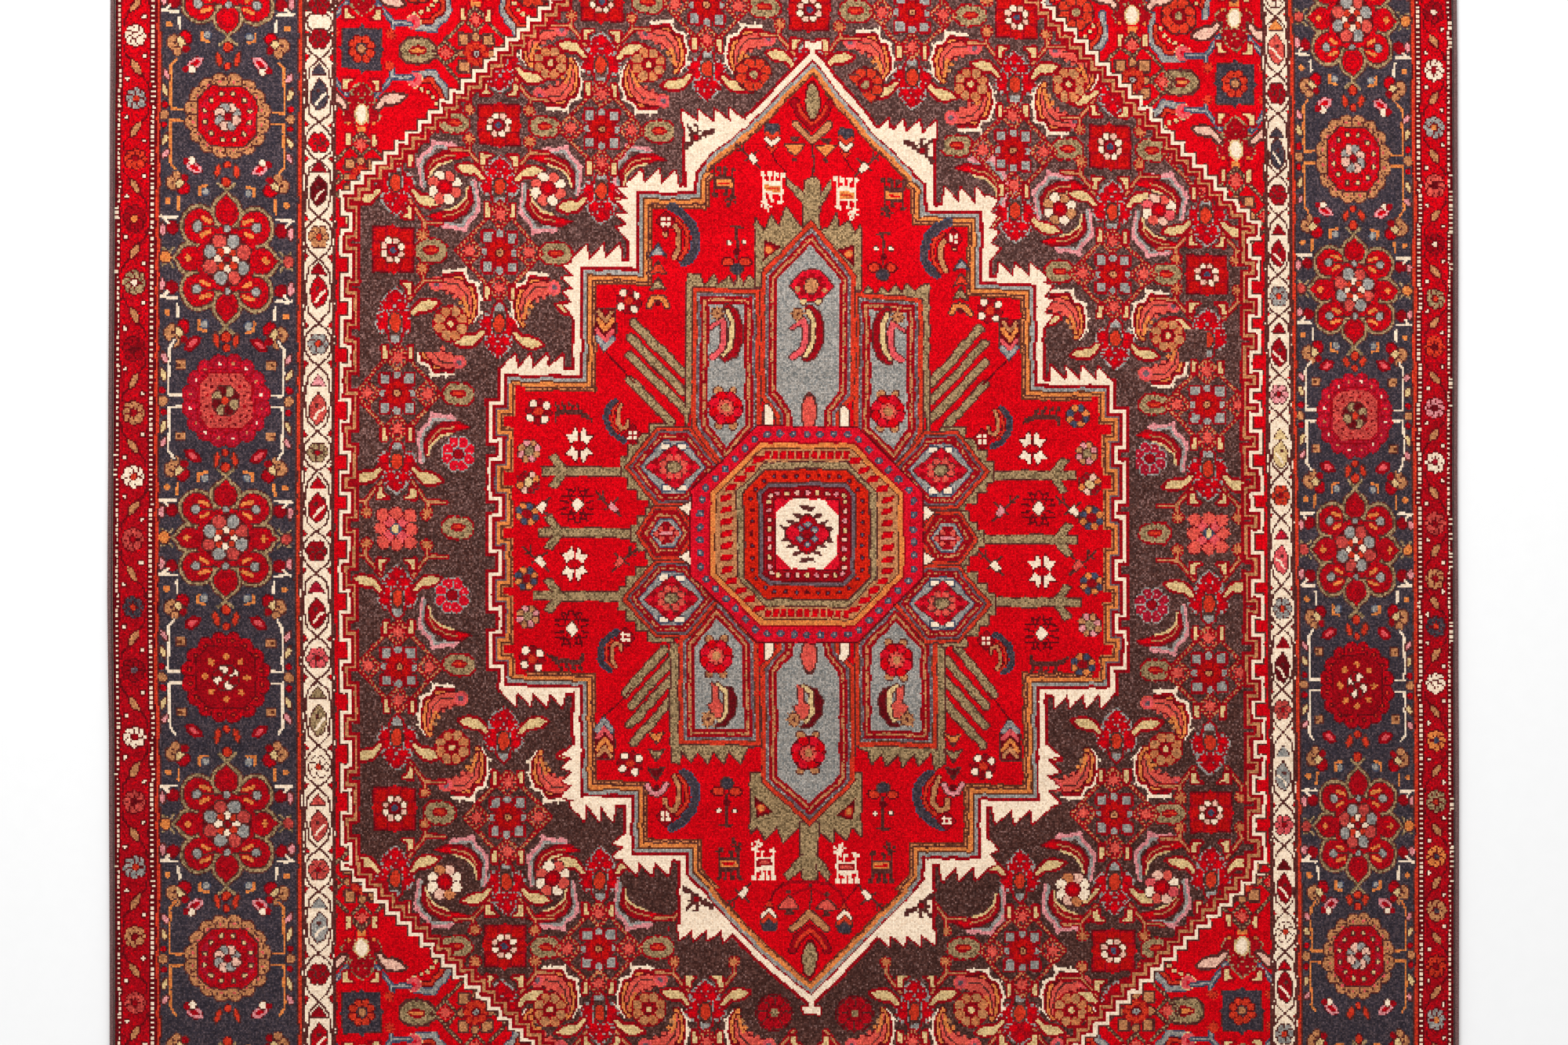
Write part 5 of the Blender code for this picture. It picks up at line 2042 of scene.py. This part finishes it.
def linked(name, data):
    """A new object in the scene that shows that mesh, light or camera."""
    obj = bpy.data.objects.new(name, data)
    bpy.context.scene.collection.objects.link(obj)
    return obj


def add_knots(mesh, block_x, block_y, knots):
    """Each face keeps the wools of its 16 knots in four numbers, one to a row of four."""
    tiles = knots.reshape(ROWS // BLOCK, BLOCK, COLUMNS // BLOCK, BLOCK).astype(np.float64)
    packed = (tiles * PACKING ** np.arange(BLOCK)).sum(axis=3)
    for line in range(BLOCK):
        values = packed[:, line, :][block_y][:, block_x].reshape(-1)
        face_numbers(mesh, f"knots_{line}", values)
    grid_y, grid_x = np.meshgrid(block_y, block_x, indexing="ij")
    face_numbers(mesh, "block_x", grid_x.reshape(-1) * BLOCK)
    face_numbers(mesh, "block_y", grid_y.reshape(-1) * BLOCK)


def face_numbers(mesh, name, values):
    """A number for each face; the underside, last, gets 0."""
    attribute = mesh.attributes.new(name, "FLOAT", "FACE")
    attribute.data.foreach_set("value", np.append(values, 0.0).astype(np.float32))


def add_maps(mesh, quads, rim, lines, blocks, places):
    """Two UV maps: a corner's place within its face, in knots, and a flat layout of the block."""
    (column, row), (block_x, block_y), (x, y) = lines, blocks, places
    wide = len(column)
    grid_row, grid_column = np.divmod(quads, wide)
    face_row, face_column = np.divmod(np.arange(len(quads)), wide - 1)
    knot_u = (column[grid_column] - block_x[face_column][:, None]) * BLOCK
    knot_v = (row[grid_row] - block_y[face_row][:, None]) * BLOCK
    inside = np.stack([knot_u, knot_v], axis=-1).reshape(-1, 2)
    low_x, low_y = x.min(), y.min()
    span = max(x.max() - low_x, y.max() - low_y)
    shares = ((x.reshape(-1) - low_x) / span, (y.reshape(-1) - low_y) / span)
    flat = [placed(share[quads], room) for share, room in zip(shares, TOP_ROOM)]
    flat = np.stack(flat, axis=-1).reshape(-1, 2)
    under = [placed(share[rim[::-1]], room) for share, room in zip(shares, UNDERSIDE_ROOM)]
    under = np.stack(under, axis=-1)
    nowhere = np.zeros((len(rim), 2))
    for name, values, last in (("knot_place", inside, nowhere), ("OFBake", flat, under)):
        layer = mesh.uv_layers.new(name=name)
        layer.data.foreach_set("uv", np.concatenate([values, last]).astype(np.float32).reshape(-1))


def merge_corners(mesh):
    """Joins the points that coincide where a seam's side meets the pile's edge."""
    shape = bmesh.new()
    shape.from_mesh(mesh)
    bmesh.ops.remove_doubles(shape, verts=shape.verts, dist=1e-6)
    shape.to_mesh(mesh)
    shape.free()
    mesh.polygons.foreach_set("use_smooth", np.ones(len(mesh.polygons), bool))


# ---------------------------------------------------- flat ends and selvedges

RIB = 0.0015  # one pass of the flat weave
WARP = 0.0024
WEFT_DIP = 0.0006
WIDEST = 1.01
SIDE_STATIONS = [0.1 * k for k in range(-14, 15)]
SELVEDGE_WIDTH = 0.0070
SELVEDGE_TOP = 0.0075
GAP = 0.0003
WRAP = 0.0026  # the pitch of the wool round the selvedge
WRAP_SWELL = (1.0, 0.93, 0.86, 0.93)  # the size of the sections that make one turn of it
SELVEDGE_SIDES = 12
SELVEDGE_ROUNDNESS = 0.6  # 1 is an ellipse, 0 a box
SELVEDGE_PARTS = 3


def add_object(name, corners, faces, material):
    mesh = bpy.data.meshes.new(name)
    mesh.from_pydata(corners, [], faces)
    mesh.materials.append(material)
    mesh.polygons.foreach_set("use_smooth", np.ones(len(faces), bool))
    mesh.set_sharp_from_angle(angle=math.radians(CLOTH_SHARP))
    return linked(name, mesh)


def rib_rows(end):
    """Where the passes of flat weave at one end lie, from the foot towards the head."""
    count = 2 * round((CLOTH_END - PILE_END) / RIB)
    rows = [end * (PILE_END + (CLOTH_END - PILE_END) * j / count) for j in range(count + 1)]
    return rows if end > 0 else rows[::-1]


def web(name):
    """The woven foundation: ribbed where its ends show past the pile, plain underneath."""
    foot, head = rib_rows(-1), rib_rows(1)
    rows = foot + head
    columns = 2 * round(2 * side_at("right", 0.0) / WARP)
    corners, faces = [], []
    for j, y in enumerate(rows):
        left, right = side_at("left", y), side_at("right", y)
        for i in range(columns + 1):
            edge = y in (foot[0], foot[-1], head[0], head[-1]) or i in (0, columns)
            dip = WEFT_DIP if edge or (i + j) % 2 == 0 else 0.0
            corners.append((left + (right - left) * i / columns, y, WEB_TOP - dip))
    wide = columns + 1
    inner = len(foot) - 1
    for j in range(len(rows) - 1):
        if j != inner:
            faces += [(k, k + 1, k + wide + 1, k + wide) for k in range(j * wide, j * wide + columns)]
    low, high = inner * wide, (inner + 1) * wide
    sides = {}
    for which in ("left", "right"):
        sides[which] = []
        for y in SIDE_STATIONS:
            sides[which].append(len(corners))
            corners.append((side_at(which, y), y, WEB_TOP - WEFT_DIP))
    middle = list(range(low, low + wide)) + sides["right"] + list(range(high + columns, high - 1, -1))
    faces.append(middle + sides["left"][::-1])
    rim = list(range(wide)) + [k * wide + columns for k in range(1, inner + 1)] + sides["right"]
    rim += [k * wide + columns for k in range(inner + 1, len(rows))]
    rim += list(range(len(rows) * wide - 2, (len(rows) - 1) * wide - 1, -1))
    rim += [k * wide for k in range(len(rows) - 2, inner, -1)] + sides["left"][::-1]
    rim += [k * wide for k in range(inner, 0, -1)]
    base, count = len(corners), len(rim)
    corners += [(corners[k][0], corners[k][1], 0.0) for k in rim]
    for k in range(count):
        after = (k + 1) % count
        faces.append((rim[k], base + k, base + after, rim[after]))
    faces.append(list(range(base + count - 1, base - 1, -1)))
    obj = add_object(name, corners, faces, MATERIALS["flat_weave"])
    obj.data.materials.append(MATERIALS["back"])
    obj.data.polygons[len(faces) - 1].material_index = 1
    web_map(obj.data, foot, head)
    return obj


def web_map(mesh, foot, head):
    """A flat layout that gives nearly all of its space to the two ends that show."""
    layer = mesh.uv_layers.new(name="OFBake")
    for face in mesh.polygons:
        ys = [mesh.vertices[k].co.y for k in face.vertices]
        beyond_foot = min(ys) < foot[-1] + NEAR / 10 < max(ys)
        hidden = len(ys) > 4 or beyond_foot or foot[-1] < sum(ys) / len(ys) < head[0]
        for loop in face.loop_indices:
            x, y, _ = mesh.vertices[mesh.loops[loop].vertex_index].co
            u = placed((x + WIDEST) / (2 * WIDEST), WEB_ROOM)
            if hidden:
                v = placed((y + CLOTH_END) / (2 * CLOTH_END), HIDDEN_ROOM)
            elif y <= foot[-1]:
                v = placed((y - foot[0]) / (foot[-1] - foot[0]), FOOT_ROOM)
            else:
                v = placed((y - head[0]) / (head[-1] - head[0]), HEAD_ROOM)
            layer.data[loop].uv = (u, v)


def blunt(value):
    """A cosine or sine drawn out towards a box's."""
    return math.copysign(abs(value) ** SELVEDGE_ROUNDNESS, value)


def selvedge(name, which, first, last):
    """The side's binding: wool wound round and round a flat core, between two shares of its length."""
    inner_sign = 1 if which == "left" else -1
    around, turn = SELVEDGE_SIDES, len(WRAP_SWELL)
    angles = [2 * math.pi * (k + 0.5) / around for k in range(around)]
    outline = [(blunt(math.cos(angle)), blunt(math.sin(angle))) for angle in angles]
    steps = round((last - first) * 2 * CLOTH_END / WRAP) * turn
    corners, faces = [], []
    for j in range(steps + 1):
        y = CLOTH_END * (2 * (first + (last - first) * j / steps) - 1)
        middle_x = side_at(which, y) - inner_sign * (GAP + SELVEDGE_WIDTH / 2)
        for k, (across, up) in enumerate(outline):
            size = WRAP_SWELL[(j + 2 * k // around) % turn]
            x = middle_x + across * SELVEDGE_WIDTH / 2 * size
            z = max(0.0, SELVEDGE_TOP / 2 * (1 + up * size))
            corners.append((x, y, z))
    for start in range(0, steps * around, around):
        for k in range(around):
            at, after = start + k, start + (k + 1) % around
            faces.append((at + around, after + around, after, at))
    faces.append(list(range(around)))
    faces.append([steps * around + k for k in reversed(range(around))])
    return add_object(name, corners, faces, MATERIALS["binding"])


# ------------------------------------------------------------------ materials

def linear(colour):
    """A display colour as the light that shows it, by the sRGB curve."""
    return tuple(((c + 0.055) / 1.055) ** 2.4 if c > 0.04045 else c / 12.92 for c in colour) + (1.0,)


WOOL_SURFACE = {"Roughness": 0.95, "Specular IOR Level": 0.02, "Sheen Weight": 0.02,
                "Sheen Roughness": 0.6}


class Shader:
    """A material's nodes, added one small call at a time."""

    def __init__(self, name):
        self.material = bpy.data.materials.new(name)
        self.material.use_nodes = True
        self.tree = self.material.node_tree
        self.surface = self.tree.nodes["Principled BSDF"]
        for setting, value in WOOL_SURFACE.items():
            self.surface.inputs[setting].default_value = value

    def node(self, kind, **settings):
        node = self.tree.nodes.new(kind)
        for name, value in settings.items():
            setattr(node, name, value)
        return node

    def feed(self, socket, value):
        if isinstance(value, bpy.types.NodeSocket):
            self.tree.links.new(value, socket)
        else:
            socket.default_value = value

    def math(self, operation, a, b=0.0, c=0.0):
        node = self.node("ShaderNodeMath", operation=operation)
        for socket, value in zip(node.inputs, (a, b, c)):
            self.feed(socket, value)
        return node.outputs[0]

    def number(self, name):
        return self.node("ShaderNodeAttribute", attribute_name=name).outputs["Fac"]

    def mix(self, share, a, b, blend="MIX"):
        node = self.node("ShaderNodeMix", data_type="RGBA", blend_type=blend)
        self.feed(node.inputs[0], share)
        self.feed(node.inputs[6], a)
        self.feed(node.inputs[7], b)
        return node.outputs[2]

    def noise(self, scale, detail, stretch=None):
        node = self.node("ShaderNodeTexNoise")
        node.inputs["Scale"].default_value = scale
        node.inputs["Detail"].default_value = detail
        place = self.node("ShaderNodeTexCoord").outputs["Object"]
        if stretch:
            mapping = self.node("ShaderNodeMapping")
            mapping.inputs["Scale"].default_value = stretch
            self.feed(mapping.inputs["Vector"], place)
            place = mapping.outputs[0]
        self.feed(node.inputs["Vector"], place)
        return node.outputs["Fac"]

    def ranged(self, value, low, high, out_low, out_high):
        node = self.node("ShaderNodeMapRange", interpolation_type="SMOOTHSTEP")
        for socket, number in zip(node.inputs, (value, low, high, out_low, out_high)):
            self.feed(socket, number)
        return node.outputs[0]

    def palette(self, share, colours):
        """A colour for each step of `share`, which is (number + 0.5) / count."""
        node = self.node("ShaderNodeValToRGB")
        ramp = node.color_ramp
        ramp.interpolation = "CONSTANT"
        while len(ramp.elements) < len(colours):
            ramp.elements.new(0.5)
        for k, colour in enumerate(colours):
            ramp.elements[k].position = k / len(colours)
        for k, colour in enumerate(colours):
            ramp.elements[k].color = linear(colour)
        self.feed(node.inputs[0], share)
        return node.outputs["Color"]

    def bump(self, height, distance, strength):
        node = self.node("ShaderNodeBump")
        node.inputs["Distance"].default_value = distance
        node.inputs["Strength"].default_value = strength
        self.feed(node.inputs["Height"], height)
        self.feed(self.surface.inputs["Normal"], node.outputs[0])

    def finish(self, colour):
        self.feed(self.surface.inputs["Base Color"], colour)
        return self.material


# How the pile's shades run: (from, to, what it is up to there, what it is past there).
STRAY_TUFTS = (0.35, 1.0, 0.0, 1.0)
# Painted shade in the gaps between knots: darker towards each knot's edge.
PAINTED_GAP_SHADE = (0.25, 0.5, 1.08, 0.72)
STRANDS = (0.3, 0.7, 0.74, 1.26)
ABRASH = (0.3, 0.7, 0.91, 1.07)
# Painted shade of the light falling off towards the foot: the pile is darker there.
PAINTED_FOOT_SHADE = (-0.35, 0.6, 0.84, 1.0)
# Pale wools vary less and are spared the painted shade towards the foot: by brightness.
PALE_EVENNESS = (0.42, 0.8, 1.0, 0.42)
PALENESS = (0.42, 0.8, 0.0, 1.0)
KNOT_LIGHT = (0.62, 0.70)  # how much a knot's own chance brightens it, and what every knot has: partly random tone of each knot, partly painted light and shade of its tufts
# The noises: (scale, detail, and how far it is stretched).
FIBRE_NOISE = (1500.0, 3.0)
STRAND_NOISE = (560.0, 2.0)
ABRASH_NOISE = (6.0, 3.0, (0.35, 3.0, 1.0))
# How much the dome of a knot, its fibres and its chance raise it.
DOME, FIBRES, UNEVEN = 0.8, 0.35, 0.4
PILE_BUMP = (0.0011, 0.8)
YARN_BUMP = (0.0004, 0.6)


def knot_under(s):
    """For the knot at each point: the point's place in the face, the knot's column and row, its wool."""
    apart = s.node("ShaderNodeSeparateXYZ")
    s.feed(apart.inputs[0], s.node("ShaderNodeUVMap", uv_map="knot_place").outputs[0])
    inside = [s.math("MINIMUM", s.math("MAXIMUM", apart.outputs[k], 0.0), BLOCK - 0.001) for k in (0, 1)]
    column, row = (s.math("FLOOR", value) for value in inside)
    packed = 0.0
    for line in range(BLOCK):
        here = s.math("COMPARE", row, float(line), 0.5)
        packed = s.math("MULTIPLY_ADD", s.number(f"knots_{line}"), here, packed)
    digit = s.math("POWER", PACKING, column)
    shifted = s.math("FLOOR", s.math("DIVIDE", s.math("ADD", packed, 0.25), digit))
    wool = s.math("MODULO", shifted, PACKING)
    return inside, column, row, s.math("DIVIDE", s.math("ADD", wool, 0.5), float(len(WOOLS)))


def knot_chances(s, column, row):
    """Two chances for each knot, the same all over it."""
    knot = s.node("ShaderNodeCombineXYZ")
    s.feed(knot.inputs[0], s.math("ADD", s.number("block_x"), column))
    s.feed(knot.inputs[1], s.math("ADD", s.number("block_y"), row))
    white = s.node("ShaderNodeTexWhiteNoise", noise_dimensions="3D")
    s.feed(white.inputs["Vector"], knot.outputs[0])
    chances = s.node("ShaderNodeSeparateColor")
    s.feed(chances.inputs[0], white.outputs["Color"])
    return chances.outputs[0], chances.outputs[1]


def pile_shade(s, colour, edge, light):
    """How bright each point is: painted shade between knots, darker between strands, and painted shade
    towards the foot.
    """
    # painted shade between the knots
    gap = s.ranged(edge, *PAINTED_GAP_SHADE)
    strand = s.ranged(s.noise(*STRAND_NOISE), *STRANDS)
    # each knot's chance brightness: random tone, and painted light and shade of its tufts
    lit = s.math("MULTIPLY_ADD", light, *KNOT_LIGHT)
    abrash = s.ranged(s.noise(*ABRASH_NOISE), *ABRASH)
    place = s.node("ShaderNodeSeparateXYZ")
    s.feed(place.inputs[0], s.node("ShaderNodeTexCoord").outputs["Object"])
    # painted shade: darker towards the foot, where the light falls off
    painted_foot_darkening = s.ranged(place.outputs[1], *PAINTED_FOOT_SHADE)
    shade = s.math("MULTIPLY", s.math("MULTIPLY", gap, strand), s.math("MULTIPLY", abrash, lit))
    brightness = s.node("ShaderNodeRGBToBW")
    s.feed(brightness.inputs[0], colour)
    evenness = s.ranged(brightness.outputs[0], *PALE_EVENNESS)
    shade = s.math("MULTIPLY_ADD", s.math("SUBTRACT", shade, 1.0), evenness, 1.0)
    pale = s.ranged(brightness.outputs[0], *PALENESS)
    spared_painted_shade = s.math("MULTIPLY_ADD", s.math("SUBTRACT", 1.0, painted_foot_darkening), pale, painted_foot_darkening)
    return s.math("MULTIPLY", shade, spared_painted_shade)


def pile_material():
    """Clipped wool: each knot takes its colour from the chart, with stray tufts and fibres."""
    s = Shader("clipped_wool")
    inside, column, row, wool = knot_under(s)
    stray, light = knot_chances(s, column, row)
    plain, tufts = zip(*WOOLS.values())
    colour = s.mix(s.ranged(stray, *STRAY_TUFTS), s.palette(wool, plain), s.palette(wool, tufts))
    across, up = (s.math("ABSOLUTE", s.math("SUBTRACT", s.math("FRACT", value), 0.5)) for value in inside)
    edge = s.math("MAXIMUM", across, up)
    shade = pile_shade(s, colour, edge, light)
    toned = s.node("ShaderNodeCombineXYZ")
    for socket in toned.inputs:
        s.feed(socket, shade)
    dome = s.math("SUBTRACT", 1.0, s.math("MULTIPLY", edge, edge))
    fibres = s.math("MULTIPLY", s.noise(*FIBRE_NOISE), FIBRES)
    rough = s.math("ADD", fibres, s.math("MULTIPLY", light, UNEVEN))
    s.bump(s.math("ADD", s.math("MULTIPLY", dome, DOME), rough), *PILE_BUMP)
    return s.finish(s.mix(1.0, colour, toned.outputs[0], "MULTIPLY"))


def woven_material(name, light, dark, scale, stretch):
    """Plain yarn: two tones of wool in fine strands."""
    s = Shader(name)
    strands = s.noise(scale, 3.0, stretch)
    colour = s.mix(s.ranged(strands, 0.35, 0.65, 0.0, 1.0), linear(light), linear(dark))
    s.bump(strands, *YARN_BUMP)
    return s.finish(colour)


def floor_material():
    s = Shader("pale_floor")
    grain = s.ranged(s.noise(40.0, 2.0), 0.3, 0.7, 0.0, 1.0)
    s.surface.inputs["Sheen Weight"].default_value = 0.0
    return s.finish(s.mix(grain, (0.985, 0.985, 0.985, 1.0), (0.995, 0.995, 0.995, 1.0)))


# The plain yarns: name, light and dark tone, scale of the strands and how they are stretched.
YARNS = {
    "back": ("woven_back", (0.62, 0.42, 0.34), (0.40, 0.16, 0.15), 300.0, (1.0, 3.0, 1.0)),
    "flat_weave": ("flat_weave_wool", (0.86, 0.80, 0.68), (0.70, 0.62, 0.50), 500.0, (0.3, 2.0, 1.0)),
    "binding": ("wrapping_wool", (0.55, 0.42, 0.41), (0.31, 0.22, 0.22), 600.0, (1.0, 2.5, 1.0)),
}


def make_materials():
    materials = {"pile": pile_material()}
    for use, yarn in YARNS.items():
        materials[use] = woven_material(*yarn)
    materials["floor"] = floor_material()
    return materials


# -------------------------------------------------------------- floor and light

PHOTO_WIDE = 2000
PIXELS_A_METRE = 861.0
CAMERA_HEIGHT = 7.0
LOOK_AT = (0.0, 0.0157)
SENSOR = 36.0
FAR_CLIP = 100.0
FLOOR_SIDE = 14.0
FLOOR_DROP = 0.0005
SKY_STRENGTH = 0.70
WINDOW_AT, WINDOW_AIM = (-0.5, 2.6, 2.8), (0.0, 0.2, 0.0)
WINDOW_SIZE, WINDOW_WATTS = 2.2, 85.0


def make_floor():
    half = FLOOR_SIDE / 2
    corners = [(x, y, -FLOOR_DROP) for x, y in ((-half, -half), (half, -half), (half, half), (-half, half))]
    floor = add_object("studio_floor", corners, [(0, 1, 2, 3)], MATERIALS["floor"])


def add_area(name, location, aim, size, watts):
    data = bpy.data.lights.new(name, "AREA")
    data.shape = "SQUARE"
    data.size = size
    data.energy = watts
    lamp = linked(name, data)
    lamp.location = location
    away = [a - b for a, b in zip(location, aim)]
    lamp.rotation_euler = (math.atan2(math.hypot(away[0], away[1]), away[2]), 0.0,
                           math.atan2(away[0], -away[1]))


def make_light():
    world = bpy.data.worlds.new("studio")
    world.use_nodes = True
    background = world.node_tree.nodes["Background"]
    background.inputs["Color"].default_value = (1.0, 1.0, 1.0, 1.0)
    background.inputs["Strength"].default_value = SKY_STRENGTH
    bpy.context.scene.world = world
    add_area("window_light", WINDOW_AT, WINDOW_AIM, WINDOW_SIZE, WINDOW_WATTS)


def make_camera():
    data = bpy.data.cameras.new("photo_camera")
    data.sensor_width = SENSOR
    wide = PHOTO_WIDE / PIXELS_A_METRE
    data.lens = SENSOR * (CAMERA_HEIGHT - PILE_TOP) / wide
    data.clip_end = FAR_CLIP
    camera = linked("photo_camera", data)
    camera.location = (LOOK_AT[0], LOOK_AT[1], CAMERA_HEIGHT)
    bpy.context.scene.camera = camera
    bpy.context.scene.view_settings.view_transform = "Standard"


# ------------------------------------------------------------------- the whole

MATERIALS = make_materials()


def make_rug():
    knots = weave().knots
    cloth = [web("rug_web")]
    for j, names in enumerate(BLOCK_NAMES):
        for i, name in enumerate(names):
            columns = BLOCK_SPLITS_X[i:i + 2]
            rows = BLOCK_SPLITS_Y[j:j + 2]
            cloth.append(pile_block(f"pile_{name}", columns, rows, knots))
    bindings = []
    for which in ("left", "right"):
        for part in range(SELVEDGE_PARTS):
            first, last = part / SELVEDGE_PARTS, (part + 1) / SELVEDGE_PARTS
            piece = selvedge(f"selvedge_{which}_{part + 1}", which, first, last)
            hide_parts(f"selvedge_{which}")
            bindings.append(piece)
    for piece in cloth:
        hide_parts("rug_cloth")
    for piece in cloth + bindings:
        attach(piece, "root")


make_rug()
make_floor()
make_light()
make_camera()
